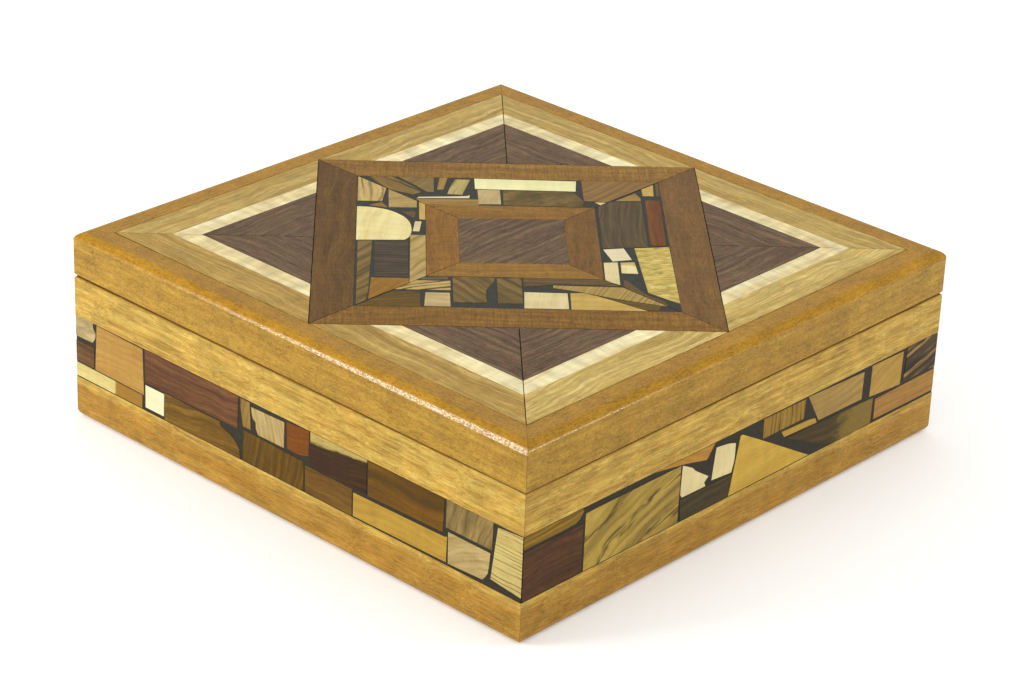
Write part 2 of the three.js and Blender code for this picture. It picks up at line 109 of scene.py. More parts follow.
# Derived places
HALF = BOX_SIDE / 2
BOX_HEIGHT = BASE_HEIGHT + LID_HEIGHT
BAND_TOP = BAND_FOOT + BAND_HEIGHT
INLAY_FOOT = BOX_HEIGHT - INLAY_THICKNESS
LID_LEDGE = INLAY_FOOT - LID_PANEL_THICKNESS
BORDER_HALF = HALF - LID_FRAME_WIDTH
CREAM_HALF = BORDER_HALF - TAN_WIDTH
WALNUT_HALF = CREAM_HALF - CREAM_WIDTH
SQUARE_HALF = BORDER_HALF / math.sqrt(2) - MITRE_GAP / 2
RING_OUTER = SQUARE_HALF - SQUARE_FRAME_WIDTH
RING_INNER = RING_OUTER - RING_WIDTH
CENTRE_HALF = RING_INNER - SMALL_FRAME_WIDTH
END_SETBACK = MITRE_GAP / math.sqrt(2)
CLOSED_SETBACK = CLOSED_MITRE / math.sqrt(2)

# Each rail's left and right end: the sanded flat below its round top edge, and its seam bevel.
# The flat leans back by the tilt.
RAIL_ENDS = {
    "front": ((0.15 * MM, 1.0 * MM), (2.0 * MM, 0.5 * MM)),
    "right": ((0.35 * MM, 0.5 * MM), (0.15 * MM, 0.9 * MM)),
    "back": ((0.15 * MM, 0.9 * MM), (0.15 * MM, 0.9 * MM)),
    "left": ((0.15 * MM, 0.9 * MM), (0.15 * MM, 1.0 * MM)),
}
ARRIS_TILT = math.radians(26.8)

SIDE_NAMES = ["front", "right", "back", "left"]
SQUARE_SIDES = ["near", "right", "far", "left"]
SQUARE_CORNERS = [(-1, -1), (1, -1), (1, 1), (-1, 1)]

# The mosaics are drawn in millimetres, on bands and a ring of these sizes, and stretch with the real ones.
# FILLER_LINE is the line of filler between the tiles of the plain rows.
DRAWN_BAND_LENGTH = 230
DRAWN_BAND_HEIGHT = 25.5
DRAWN_RING_OUTER = 58.6
DRAWN_RING_INNER = 32.3
FILLER_LINE = 1

# Each tile: its wood, the angle of its grain in degrees, and its outline.
# Bands: x from the face's middle, and height above the band's foot
FRONT_TILES = [
    ("cloudy_grey", 8, [
        (-115, 17), (-105.3, 17.2), (-103.8, 19.5), (-103.5, 21.5), (-104.8, 23.5),
        (-104.9, 25.5), (-115, 25.5)
    ]),
    ("red_walnut", 3, [(-115, 6.7), (-104.6, 6.7), (-104.4, 15.3), (-115, 15.2)]),
    ("orange_tan", 4, [(-104, 6.5), (-76.3, 6.2), (-76.8, 24.9), (-102.7, 25.2)]),
    ("two_tone_yellow", 0, [(-115, 0.5), (-77.4, 0.4), (-77.2, 5.8), (-115, 6.1)]),
    ("red_brown", 2, [(-75.5, 11.9), (-25.2, 11.9), (-24.7, 25.3), (-75.6, 25.3)]),
    ("holly", 0, [(-75.5, 1.5), (-65.3, 1.5), (-65, 10.8), (-75.4, 10.7)]),
    ("olive_brown", 4, [
        (-64.8, 0.3), (-23.9, 0.3), (-24.2, 3.2), (-25.8, 5.8), (-28.2, 7.6), (-31.2, 8.8),
        (-34.2, 9.6), (-34.8, 11.2), (-64.8, 11.5)
    ]),
    ("streaked_beige", 78, [(-22.2, 14.1), (-18.2, 14.1), (-18.7, 24.9), (-23.7, 25), (-23.4, 20.5)]),
    ("ringed_beige", 104, [
        (-14.2, 13.5), (-0.9, 13.6), (-0.7, 23.9), (-18, 23.4), (-17.2, 19.4), (-15.6, 18.2),
        (-15.4, 15.6)
    ]),
    ("padauk", 5, [(0.8, 14), (7, 14), (11.8, 15.3), (12, 25.3), (0.4, 24.5)]),
    ("dark_olive_brown", 75, [(-22.2, 0.3), (9.4, 0.3), (9.2, 12), (-22, 12.8)]),
    ("sapwood_brown", 6, [(12.6, 13.8), (14.6, 11.7), (40.9, 11.7), (41, 25.3), (12.6, 25.3)]),
    ("mid_brown", 3, [(10.1, 0.3), (33.8, 0.3), (33.8, 10.9), (10.1, 11)]),
    ("streaked_olive", 2, [(41.6, 11.5), (77.9, 12.2), (78.4, 25.2), (41.5, 25.2)]),
    ("yellow_orange", 1, [(34.4, 0.6), (79.8, 1.1), (80, 11.2), (78.6, 10.7), (34.4, 9.9)]),
    ("figured_grey", 70, [(79.3, 14.6), (100.9, 14.6), (101.1, 25.4), (79.3, 25.4)]),
    ("ringed_beige", 32, [(80.7, 1), (97, 1.7), (98.6, 3.8), (99.4, 5.4), (100.2, 13.2), (80.4, 13.2)]),
    ("streaked_yellow", -4, [(100.6, 3.5), (115, 1.9), (115, 25.2), (103.2, 24.4)]),
]
RIGHT_TILES = [
    ("striped_olive", 1, [
        (-115, 20.4), (-89.5, 20.8), (-86.6, 22.2), (-85.2, 24), (-85.8, 25.2), (-115, 25.4)
    ]),
    ("dark_red_brown", 2, [(-115, 0.4), (-85.3, 0.4), (-85.2, 19.2), (-115, 19.4)]),
    ("figured_olive", 24, [(-84.2, 0.3), (-34.9, 0.3), (-34.6, 22.8), (-84.1, 22.8)]),
    ("salmon", -20, [(-48.5, 25.3), (-33, 22.8), (-20.6, 20), (-16.3, 25.3)]),
    ("cream_wood", 80, [
        (-33.2, 9.7), (-20.3, 9.5), (-21.2, 11.2), (-19, 13), (-26.6, 18), (-28.2, 19.6),
        (-33.7, 22.5), (-34.1, 11.3)
    ]),
    ("cream_wood", 85, [
        (-17.2, 10.6), (-6.2, 9.7), (-4.9, 14.5), (-4.7, 21), (-8.8, 22.2), (-15.6, 23.1)
    ]),
    ("green_grey", 5, [(-33.6, 0.3), (-7.2, 0.3), (-5.7, 9), (-34.3, 9)]),
    ("bright_yellow", 3, [(-6.9, 0.4), (39, 0.4), (-0.9, 23), (-2.2, 23)]),
    ("dark_striped_olive", 88, [(10.8, 17), (34.3, 17), (34.9, 24.8), (10.8, 25)]),
    ("yellow_orange", -4, [(23.4, 13.3), (42.4, 12.5), (41.4, 14.6), (38, 15.3), (21.6, 16)]),
    ("fading_olive", -12, [(25, 12.4), (52.5, 0.5), (76, 0.5), (76.4, 10.8), (43.4, 12.1)]),
    ("grey_tan", 6, [(43.4, 13.1), (69.1, 12.8), (69.5, 24), (36.3, 25.1)]),
    ("golden_tan", 30, [(73.9, 12), (92.9, 10.8), (93.5, 24.5), (74.3, 24.8)]),
    ("ebony", 20, [(94.9, 11.1), (115, 11.2), (115, 25.3), (96, 25.3)]),
    ("pink_tan", 2, [(77.8, 1.3), (115, 1), (115, 10.2), (77.8, 9.8)]),
]
# Ring: x and y from the middle of the square, before it is turned
NEAR_TILES = [
    ("purple_brown", 0, [(-33.6, -33.4), (-24.6, -32.6), (-24.4, -35), (-34.6, -35.8)]),
    ("zebra", 19, [(-36.8, -36.4), (-23.7, -36), (-23.7, -44.1), (-44, -44.1)]),
    ("ring_olive", 10, [(-44.8, -45.8), (-34.8, -45.6), (-34.6, -58.4), (-57.4, -58.4)]),
    ("pink_beige", 0, [(-32.8, -46.4), (-24, -46.4), (-23.9, -57.7), (-33.3, -57.7)]),
    ("diagonal_olive", -52, [
        (-22.9, -32.6), (-7.3, -32.8), (-8.3, -37), (-10.8, -43.6), (-10.8, -54), (-22.8, -54.2)
    ]),
    ("diagonal_olive", -52, [(-6.8, -33.4), (2.1, -32.8), (2.1, -54.4), (-6.9, -54.4)]),
    ("plain_brown", 0, [(2.8, -32.6), (32.2, -32.6), (37.8, -38), (14, -37.8), (7, -39.2), (2.8, -40)]),
    ("cream_wood", 90, [(2.8, -44.6), (18.4, -44.9), (18.4, -58), (2.4, -58)]),
    ("tan_yellow", 0, [(19.4, -44.8), (25.4, -44.8), (46.4, -58.3), (19.2, -58.3)]),
    ("fine_olive", 60, [
        (13.5, -38.4), (38.8, -39), (54, -54), (50.6, -53.2), (36, -48.6), (24, -43.8),
        (13.5, -40.4)
    ]),
    ("dark_olive", -20, [
        (30, -47), (36, -49.2), (51.6, -54.4), (50.4, -57.8), (46.6, -57.6), (38, -52)
    ]),
]
RIGHT_RING_TILES = [
    ("tan_yellow", 20, [(51.6, 44.8), (55.8, 44.8), (56.3, 55.8), (51.5, 51.2)]),
    ("ring_tan", 10, [(40.8, 39.6), (50.6, 39.8), (50.4, 42.6), (48.7, 47.2)]),
    ("dark_green_brown", 90, [
        (33.4, -5), (44.2, -3.8), (50.4, -3), (50.6, 38.8), (38.6, 38.4), (33.6, 34.4)
    ]),
    ("padauk_red", 88, [(51.4, -1.6), (57.2, -1.4), (57.9, 40.6), (52.1, 40.6)]),
    ("plain_brown", 90, [(56.8, 44.5), (58.4, 44.5), (58.4, 58), (57.2, 57)]),
    ("burl", 4, [(45.2, -4.4), (58.3, -2.6), (58.6, -51.6), (47.7, -42.9)]),
    ("holly", 0, [(33.5, -6), (41.2, -4.6), (43.6, -14.6), (36.4, -16.4)]),
    ("cream_wood", 80, [
        (33, -17.8), (38.2, -17.2), (38, -36.8), (35, -34.8), (34.2, -34), (32.8, -32.6)
    ]),
    ("cream_tan", 90, [(39.2, -17.4), (44.4, -16.8), (45.2, -26.8), (39.1, -26.6)]),
    ("plain_brown", -50, [
        (39.4, -32.8), (40.8, -33.4), (47.4, -45), (53, -50), (54.5, -54.4), (40, -39.8)
    ]),
]
FAR_TILES = [
    ("streaked_brown", -50, [
        (-54, 58.4), (-45.2, 58.4), (-38, 50.5), (-33.4, 44.4), (-37, 41.5), (-47, 47.5)
    ]),
    ("olive_tan", 60, [(-42.6, 58.4), (-29, 58.4), (-29, 44.4), (-31.6, 44.4), (-36.4, 51)]),
    ("ring_tan", 80, [(-26.7, 58.3), (-23.6, 58.4), (-25.3, 46.8), (-27.8, 46.8)]),
    ("striped_yellow", 75, [(-20.6, 57), (-14.8, 57), (-18.2, 42.3), (-23.9, 42.8), (-22.6, 50)]),
    ("holly", 2, [(-35.5, 38.4), (-15.5, 39.2), (-15.3, 42), (-16.6, 41), (-35, 39.4)]),
    ("ring_tan", 4, [(-34.4, 35), (-32.4, 32.5), (-12, 32.4), (-12, 38), (-36, 37.8)]),
    ("pale_cream", 1, [(-13.1, 48.2), (25.8, 47.8), (26.4, 57.6), (-13.2, 58.2)]),
    ("pink_beige", 80, [(-12, 33.6), (-3.4, 34), (-3.5, 47.4), (-12.2, 47.4)]),
    ("mottled_olive", 30, [(-2.5, 33), (27.6, 33), (28.4, 38.2), (24.6, 47), (-2.3, 47.2)]),
    ("red_mid_brown", 45, [(28.6, 38.8), (37.6, 38.2), (58, 58.4), (28.4, 58.4)]),
    ("cream_wood", 0, [(32.8, 37.7), (34.8, 35.2), (37, 37.6)]),
]
LEFT_RING_TILES = [
    ("striped_beige", 90, [(-58.2, 34.6), (-48.9, 34.7), (-47.2, 48.5), (-58.2, 58.6)]),
    ("beige_tan", 20, [(-46.3, 29), (-35.7, 29.3), (-35.6, 35.6), (-46.5, 46.5)]),
    ("red_mid_brown", 20, [(-54, 30.6), (-46.6, 28.6), (-49, 33.6)]),
    ("pale_round", 80, [
        (-58.3, -1.6), (-40.3, -0.8), (-38.6, 2), (-37.8, 6), (-37.8, 11), (-38.6, 16),
        (-40.6, 20.4), (-43.4, 23.8), (-47, 26.6), (-52.4, 28.6), (-58.3, 29.2)
    ]),
    ("plain_brown", 60, [(-41.8, 25.2), (-36, 25.5), (-36.6, 18.8)]),
    ("tan_yellow", 90, [(-34.8, 18.2), (-32.5, 18), (-32.5, 32.3), (-34.8, 34.8)]),
    ("cream_wood", 80, [(-37.3, 7.1), (-34.8, 7.1), (-33.9, 16.2), (-36.4, 16.2)]),
    ("banded_beige", 55, [(-38.5, -38.5), (-32.5, -32.3), (-32.5, 3.8), (-38.2, 3.6)]),
    ("ribbed_purple", 2, [(-51.2, -33.8), (-38.9, -33.8), (-39, -1.6), (-51.4, -2.2)]),
    ("diagonal_olive", 50, [(-57.7, -2.4), (-57.6, -57.6), (-54.2, -54), (-53, -30), (-52.3, -2.2)]),
    ("ring_orange", 50, [(-53.3, -53), (-38.7, -38.5), (-38.7, -34.6), (-52.4, -34.6)]),
]

# Plainer rows for the two hidden faces. Each column has a width, the lean of its right edge,
# the height of its lower tile (zero for one tall tile) and the woods from below.
BACK_COLUMNS = [
    (20, 1, 11, "tan_yellow", "red_brown"),
    (31, -1, 0, "olive_brown"),
    (17, 1, 14, "ringed_beige", "padauk"),
    (36, 0, 9, "yellow_orange", "red_walnut"),
    (24, -1, 16, "dark_olive", "cream_wood"),
    (14, 1, 0, "salmon"),
    (33, -1, 13, "mid_brown", "cloudy_grey"),
    (26, 1, 0, "figured_olive"),
    (12, 0, 12, "holly", "red_brown"),
    (17, 0, 15, "orange_tan", "ebony"),
]
LEFT_COLUMNS = [
    (27, -1, 12, "red_walnut", "striped_beige"),
    (15, 1, 0, "tan_yellow"),
    (38, 0, 15, "orange_tan", "dark_olive"),
    (22, 1, 10, "cream_wood", "red_brown"),
    (30, -1, 0, "olive_brown"),
    (12, 0, 14, "padauk", "streaked_yellow"),
    (25, 1, 11, "grey_tan", "mid_brown"),
    (34, -1, 14, "dark_red_brown", "yellow_orange"),
    (27, 0, 0, "banded_beige"),
]

GRAIN = "grain"

# How much brighter the studio light shows red, green and blue than they are
LIGHT_LEVEL = (1.28, 1.27, 1.36)

# How fast each kind of mark changes along and across the grain, per millimetre
BEND_RATE = (0.02, 0.03)
SWAY_RATE = (0.05, 0.08)
WORN_LINE_RATE = (0.06, 0.9)
RAGGED_RATE = (0.15, 0.4)
FLECK_RATE = (0.14, 0.9)
CLOUD_RATE = (0.07, 0.12)
PORE_RATE = (0.3, 3.4)
RUBBED_RATE = (1.0, 1.6)
FILLER_RATE = (0.6, 0.6)

# How far the streaks bend, in millimetres, and how rough, shiny and deep the surfaces are
BEND_REACH = 14
WOOD_ROUGHNESS = 0.4
CLOUDED_ROUGHNESS = 0.2
FILLER_ROUGHNESS = 0.35
SPECULAR = 0.12
WOOD_RELIEF = 0.012 * MM
FILLER_RELIEF = 0.03 * MM
RELIEF_STRENGTH = 0.6

# Every wood and filler by its name
WOODS = {}


def colour(code):
    """Linear colour of a wood that looks like this hexadecimal display colour in the studio light."""
    channels = [int(code[start:start + 2], 16) / 255 for start in (0, 2, 4)]
    linear = [c / 12.92 if c <= 0.04045 else ((c + 0.055) / 1.055) ** 2.4 for c in channels]
    return [c / level for c, level in zip(linear, LIGHT_LEVEL)] + [1]


class Graph:
    """A material's nodes, with short calls that add a node and give back its output."""

    def __init__(self, name):
        material = bpy.data.materials.new(name)
        material.use_nodes = True
        self.tree = material.node_tree
        WOODS[name] = material

    def feed(self, socket, value):
        if isinstance(value, bpy.types.NodeSocket):
            self.tree.links.new(value, socket)
        else:
            socket.default_value = value

    def node(self, kind, inputs, output=0, **settings):
        """Add a node, feed its inputs by name or number, and give back one of its outputs."""
        made = self.tree.nodes.new(kind)
        for setting, value in settings.items():
            setattr(made, setting, value)
        for key, value in inputs.items():
            self.feed(made.inputs[key], value)
        return made.outputs[output]

    def grain(self, packed_node=False):
        """The wood's own coordinates in millimetres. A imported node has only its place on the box."""
        if not packed_node:
            return self.node("ShaderNodeAttribute", {}, "Vector", attribute_name=GRAIN)
        place = self.node("ShaderNodeTexCoord", {}, "Object")
        return self.vector_math("MULTIPLY", place, (1 / MM, 1 / MM, 1 / MM))

    def vector_math(self, operation, vector, other):
        return self.node("ShaderNodeVectorMath", {0: vector, 1: other}, operation=operation)

    def marks(self, vector, rate, detail=2, roughness=0.5):
        """Noise that changes along and across the grain at the two rates."""
        along, across = rate
        place = self.vector_math("MULTIPLY", vector, (along, across, across))
        inputs = {"Vector": place, "Scale": 1, "Detail": detail, "Roughness": roughness}
        return self.node("ShaderNodeTexNoise", inputs, "Fac")

    def math(self, operation, first, second):
        return self.node("ShaderNodeMath", {0: first, 1: second}, operation=operation)

    def swing(self, value, strength):
        """The value about its middle, times a strength."""
        return self.math("MULTIPLY", self.math("SUBTRACT", value, 0.5), strength)

    def span(self, value, low, high, to_low=0.0, to_high=1.0):
        """The value's stretch from low to high, as a smooth step between two others."""
        inputs = dict(enumerate((value, low, high, to_low, to_high)))
        return self.node("ShaderNodeMapRange", inputs, interpolation_type="SMOOTHSTEP")

    def axis(self, vector, letter):
        return self.node("ShaderNodeSeparateXYZ", {0: vector}, letter)

    def ramp(self, value, stops):
        made = self.tree.nodes.new("ShaderNodeValToRGB")
        self.feed(made.inputs[0], value)
        elements = made.color_ramp.elements
        while len(elements) < len(stops):
            elements.new(0.5)
        for element, (position, code) in zip(elements, stops):
            element.position = position
            element.color = colour(code)
        return made.outputs[0]

    def toned(self, factor, tone, code):
        """The tone, changed to another colour as far as the factor says."""
        inputs = {"Factor": factor, "A": tone, "B": colour(code)}
        return self.node("ShaderNodeMix", inputs, "Result", data_type="RGBA")

    def finish(self, tone, roughness, specular, relief, depth):
        """Feed the shader. relief is a bump of the given depth."""
        inputs = {"Height": relief, "Distance": depth, "Strength": RELIEF_STRENGTH}
        shader = self.tree.nodes["Principled BSDF"]
        self.feed(shader.inputs["Base Color"], tone)
        self.feed(shader.inputs["Roughness"], roughness)
        self.feed(shader.inputs["Specular IOR Level"], specular)
        self.feed(shader.inputs["Normal"], self.node("ShaderNodeBump", inputs))


def striped(graph, grain, bent, tone, spacing, width, strength, waviness, code):
    """The tone with dark lines along the grain, worn here and there."""
    sway = graph.math("MULTIPLY", graph.marks(grain, SWAY_RATE, 3), waviness)
    phase = graph.math("PINGPONG", graph.math("ADD", graph.axis(bent, "Y"), sway), spacing / 2)
    line = graph.span(phase, width * 0.3, width, 1.0, 0.0)
    worn = graph.span(graph.marks(bent, WORN_LINE_RATE, 3), 0.35, 0.6)
    return graph.toned(graph.math("MULTIPLY", graph.math("MULTIPLY", line, worn), strength), tone, code)


def two_toned(graph, grain, tone, letter, place, softness, code):
    """The tone with another one beyond a soft, ragged line."""
    ragged = graph.swing(graph.marks(grain, RAGGED_RATE, 3), 2 * softness)
    where = graph.math("ADD", graph.axis(grain, letter), ragged)
    return graph.toned(graph.span(where, place - softness / 2, place + softness / 2), tone, code)


def rubbed(graph, grain, low, high, smooth_roughness):
    """How much smoother the wood is between two heights, in worn patches."""
    height = graph.axis(grain, "Z")
    between = graph.math("MULTIPLY", graph.span(height, low - 0.4, low), graph.span(height, high + 1, high))
    worn = graph.span(graph.marks(grain, RUBBED_RATE, 3), 0.38, 0.58, 0.15, 1.0)
    return graph.math("MULTIPLY", graph.math("MULTIPLY", between, worn), WOOD_ROUGHNESS - smooth_roughness)


def wood(name, tones, streak=(0.02, 0.5), contrast=0.5, fibre=0.25, grit=0.3, pores=0.2, mottle=0.3,
         shimmer=0.25, stripes=None, second=None, tint=None, zones=(), polish=None, specular=SPECULAR,
         fibre_rate=(0.25, 2.2), grit_rate=(1.5, 2.6), silk_rate=(0.3, 0.05), packed_node=False):
    """A lacquered wood. tones are its dark, middle and light colour. Lengths are in millimetres.

    streak is how fast the growth streaks change along and across the grain. fibre, grit, pores, mottle
    and shimmer are the strengths of its fine marks, patches and cross bands, and the rates say how fast
    the first two and the cross bands change. stripes is spacing, width, strength, waviness and colour
    of dark lines. second is another tone beyond a soft line: its axis, place, softness and colour. tint
    is another hue in small flecks: strength and colour. zones are tones that begin at a place along an
    axis: axis, from, full from, how strong, colour. polish is a stretch of heights with a rubbed,
    smoother surface: from, to and its roughness.
    """
    graph = Graph(name)
    grain = graph.grain(packed_node)
    bend = graph.math("MULTIPLY", graph.marks(grain, BEND_RATE), BEND_REACH)
    bent = graph.vector_math("ADD", grain, graph.node("ShaderNodeCombineXYZ", {"Y": bend}))
    # More contrast makes the step from dark to light steeper
    reach = 0.3 / (0.5 + contrast)
    broad = graph.span(graph.marks(bent, streak, 4, 0.6), 0.5 - reach, 0.5 + reach)
    tone = graph.ramp(broad, list(zip((0.0, 0.5, 1.0), tones.split())))
    if stripes is not None:
        tone = striped(graph, grain, bent, tone, *stripes)
    if second is not None:
        tone = two_toned(graph, grain, tone, *second)
    if tint is not None:
        strength, code = tint
        flecks = graph.span(graph.marks(bent, FLECK_RATE, 3, 0.6), 0.42, 0.68, 0.0, strength)
        tone = graph.toned(flecks, tone, code)
    for letter, start, full, strength, code in zones:
        inside = graph.span(graph.axis(grain, letter), start, full, 0.0, strength)
        tone = graph.toned(inside, tone, code)
    cloud = graph.marks(grain, CLOUD_RATE, 3)
    silk = graph.marks(grain, silk_rate)
    fine = graph.marks(bent, fibre_rate, 3, 0.6)
    grains = graph.marks(bent, grit_rate, 2, 0.6)
    dash = graph.span(graph.marks(bent, PORE_RATE), 0.58, 0.7)
    value = 1.0
    for marks, strength in ((cloud, mottle), (silk, shimmer), (fine, fibre), (grains, grit)):
        value = graph.math("ADD", value, graph.swing(marks, strength))
    value = graph.math("SUBTRACT", value, graph.math("MULTIPLY", dash, pores))
    shade = graph.node("ShaderNodeVectorMath", {0: tone, "Scale": value}, operation="SCALE")
    rough = graph.math("ADD", WOOD_ROUGHNESS, graph.swing(cloud, CLOUDED_ROUGHNESS))
    if polish is not None:
        rough = graph.math("SUBTRACT", rough, rubbed(graph, grain, *polish))
    relief = graph.math("SUBTRACT", graph.math("ADD", fine, grains), dash)
    graph.finish(shade, rough, specular, relief, WOOD_RELIEF)


def alike(settings, **woods):
    """Woods with the same settings, each with its own tones."""
    for name, tones in woods.items():
        wood(name, tones, **settings)


def black_filler(name, dark, light):
    """Hard black filler, rubbed smooth, with a faint mottle and fine pits."""
    graph = Graph(name)
    mottle = graph.marks(graph.grain(), FILLER_RATE, 4, 0.6)
    rough = graph.math("ADD", FILLER_ROUGHNESS, graph.math("MULTIPLY", mottle, CLOUDED_ROUGHNESS))
    graph.finish(graph.ramp(mottle, [(0.3, dark), (0.7, light)]), rough, SPECULAR, mottle, FILLER_RELIEF)


black_filler("band_filler", "2b261d", "3a3429")
black_filler("ring_filler", "333430", "454640")

# Solid wood of the base and the lid. The dark brown at the seam is painted shade: the shadow in the narrow
# gap between lid and base
wood("golden_base", "a47e34 c49f4a d7b961", streak=(0.012, 0.5), fibre=1.7, grit=0.7, mottle=0.9,
     shimmer=0.2, fibre_rate=(0.07, 2.8), tint=(0.3, "bd8430"),
     # The last zone is painted shadow of the gap under the lid, along the top of the wall
     zones=[("Z", 16, 12, 0.6, "a26f20"), ("Z", 57.8, 58.15, 0.85, "6b4208")])
wood("golden_lid", "9b7324 ab842c bb9437", streak=(0.012, 0.5), contrast=0.55, fibre=0.9, grit=1.1,
     pores=0.15, mottle=0.7, shimmer=0.3, specular=0.18, fibre_rate=(0.25, 1.6), grit_rate=(0.9, 1.5),
     tint=(0.3, "b47f29"), polish=(72.6, 74.8, 0.16),
     # The first zone, a deeper ochre on the round top edge, is painted shade: that edge takes less sheen
     # than the side below it
     zones=[("Z", 72.9, 74, 0.7, "b98516"), ("Y", 2.6, 5, 0.7, "b08333"),
            # Painted shadow of the gap at the seam, along the foot of the lid
            ("Z", 58.7, 58.45, 0.85, "6b4308")])

# Borders and frames of the lid
for tan, tan_tones, fleck in (
    ("tan_border", "a78746 c6a860 e6cc87", "bc8b44"),
    ("tan_front", "a07d3c be9c53 dcbd75", "b4813a"),
    ("tan_right", "b1914d d2b569 f3db93", "c7964b"),
):
    wood(tan, tan_tones, streak=(0.01, 0.5), fibre=1.4, grit=0.5, pores=0.3, mottle=0.6,
         fibre_rate=(0.15, 2.4), tint=(0.35, fleck))
wood("cream_border", "dec389 f7e4b2 fffbd7", streak=(0.02, 0.3), fibre=0.4, grit=0.2, pores=0.05,
     shimmer=1, silk_rate=(0.2, 0.05))
wood("walnut", "4f3e2e 6f5941 8d7456", streak=(0.03, 0.6), fibre=2, grit=1.5, pores=0.4, mottle=0.7,
     shimmer=0.3, fibre_rate=(0.2, 2.6), tint=(0.5, "774f42"))
alike({"streak": (0.02, 0.4), "contrast": 0.4, "fibre": 0.6, "grit": 1, "pores": 0.15, "mottle": 0.4,
       "shimmer": 1, "grit_rate": (1.1, 0.7), "silk_rate": (1.2, 0.08)},
      wide_near="78531d 8b6223 9e752d", wide_far="825a23 946c2c a77e34")
alike({"streak": (0.02, 0.4), "contrast": 0.35, "fibre": 1.2, "grit": 1.2, "mottle": 0.5, "shimmer": 0.5,
       "silk_rate": (0.9, 0.1)},
      wide_right="704f24 7e5b2e 8a6635", wide_left="5d3f1b 6c4c20 7e5b27",
      small_near="875f21 9a702c ab8239", small_right="6e4b1e 7c5727 8c6631",
      small_far="815a1e 926828 a47732", small_left="855a1d 966827 a97b30")
wood("inside", "8f7440 a88a50 bb9c60", streak=(0.02, 0.3), contrast=0.4, fibre=0.5, packed_node=True)

# Offcuts
wood("cloudy_grey", "8f7b54 b19b6e d0bb88", (0.06, 0.3), 0.6, fibre=0.5, grit=0.4, mottle=0.8)
wood("figured_grey", "6c5831 887141 9e8751", (0.06, 0.3), 0.6, fibre=0.5, grit=0.4, mottle=0.8,
     stripes=(3.5, 0.6, 0.5, 6, "543e1c"))
wood("red_walnut", "4d3219 644423 7a5a32", (0.03, 0.5), 0.6, fibre=0.8, grit=0.4)
alike({"contrast": 0.4, "fibre": 0.4, "grit": 0.4},
      orange_tan="a07436 b38842 c1984e", ring_orange="8d6119 9e701e ab7f26",
      beige_tan="a9874d bb9c5b caae6c", ring_tan="967136 a68343 b39251")
wood("two_tone_yellow", "c5ad65 d5c17c ddcd94", (0.02, 0.4), 0.3, fibre=0.4,
     second=("X", 3.5, 1.5, "9b7228"))
wood("red_brown", "4f2e19 674023 7f5530", (0.02, 0.6), 0.6, fibre=1.2, grit=0.6, pores=0.3, mottle=0.5)
wood("holly", "e9d9b1 f3e4bf faedcb", (0.02, 0.3), 0.2, fibre=0.1, grit=0.08, pores=0.05, mottle=0.1,
     shimmer=0.1)
alike({"fibre": 0.9, "grit": 0.6, "pores": 0.3},
      olive_brown="543a06 704f0e 88651b", ring_olive="4f3709 694e12 81631e",
      dark_olive_brown="4a3102 604405 78570c")
wood("streaked_beige", "7f622b 957839 a58846", (0.04, 0.5), fibre=0.5, stripes=(9, 2.4, 0.7, 2, "5e3f14"))
wood("ringed_beige", "a28a56 b9a06a c9b37e", (0.03, 0.3), 0.4, fibre=0.5,
     stripes=(2, 0.5, 0.4, 2.5, "866738"))
wood("padauk", "633201 784101 874f02", (0.02, 0.6), 0.4, fibre=0.6, grit=0.5)
wood("sapwood_brown", "2c1907 3c230a 513311", (0.02, 0.6), fibre=0.8, grit=0.5,
     second=("Y", 4.9, 1.3, "b7a05b"))
alike({"streak": (0.02, 0.6), "fibre": 0.8, "grit": 0.6, "pores": 0.3},
      mid_brown="57390c 6d4b14 805f1d", plain_brown="573f21 6b5130 7e6541")
wood("streaked_olive", "503702 724c02 865e03", (0.012, 0.14), 0.8, fibre=0.6, grit=0.4)
wood("streaked_yellow", "baa35f c9b571 d2c181", (0.02, 0.3), 0.3, fibre=0.4,
     stripes=(1.7, 0.4, 0.8, 0.8, "816128"))
wood("dark_red_brown", "3d230e 503117 664122", (0.02, 0.7), fibre=1.2, grit=0.6, pores=0.3, mottle=0.5)
wood("figured_olive", "756130 ac903e c2a74e", (0.008, 0.16), 1.3, fibre=0.6,
     stripes=(12, 1.5, 1, 15, "57461f"), tint=(0.5, "b58936"))
wood("cream_wood", "dbc58a ead6a1 f4e5b7", (0.03, 0.4), 0.3, fibre=0.12, grit=0.1, pores=0.1)
wood("green_grey", "362d16 44391c 554724", (0.03, 0.7), fibre=0.8, grit=0.8, pores=0.3)
wood("fading_olive", "382d11 4a3a17 5b4a1f", (0.03, 0.5), 0.6, fibre=0.3, second=("X", 8, 14, "876d2a"))
wood("ebony", "251d11 4b3a22 856837", (0.03, 0.35), 1, fibre=0.8, grit=0.5,
     stripes=(8, 1, 0.7, 5, "c09851"))
wood("pale_cream", "fdf2b4 fff8be fffccb", (0.02, 0.3), 0.2, fibre=0.08, grit=0.08, pores=0.08)
wood("mottled_olive", "5a481f 745e2f 90763d", (0.06, 0.2), 0.9, fibre=0.3, grit=0.1, pores=0.5)
wood("dark_green_brown", "4b3b26 5e4d33 715f40", (0.02, 0.8), 0.6, fibre=0.3)
wood("burl", "bba44e d4ba64 e6cf7b", (0.1, 0.3), fibre=2.2, fibre_rate=(0.3, 1.1))
wood("cream_tan", "e8d491 f7e8ab f8f5c2", (0.03, 0.4), 0.3, fibre=0.12, second=("X", 2, 2, "d6b776"))
wood("pale_round", "ecd692 fbe8a7 fff6be", (0.03, 0.3), 0.3, fibre=0.1, grit=0.1, pores=0.1,
     stripes=(6, 0.5, 0.12, 5, "cca961"))
alike({}, grey_tan="8f7037 a68545 b89653", olive_tan="765f31 8b733f 9d854e",
      red_mid_brown="7c582d 936f3b a78449")
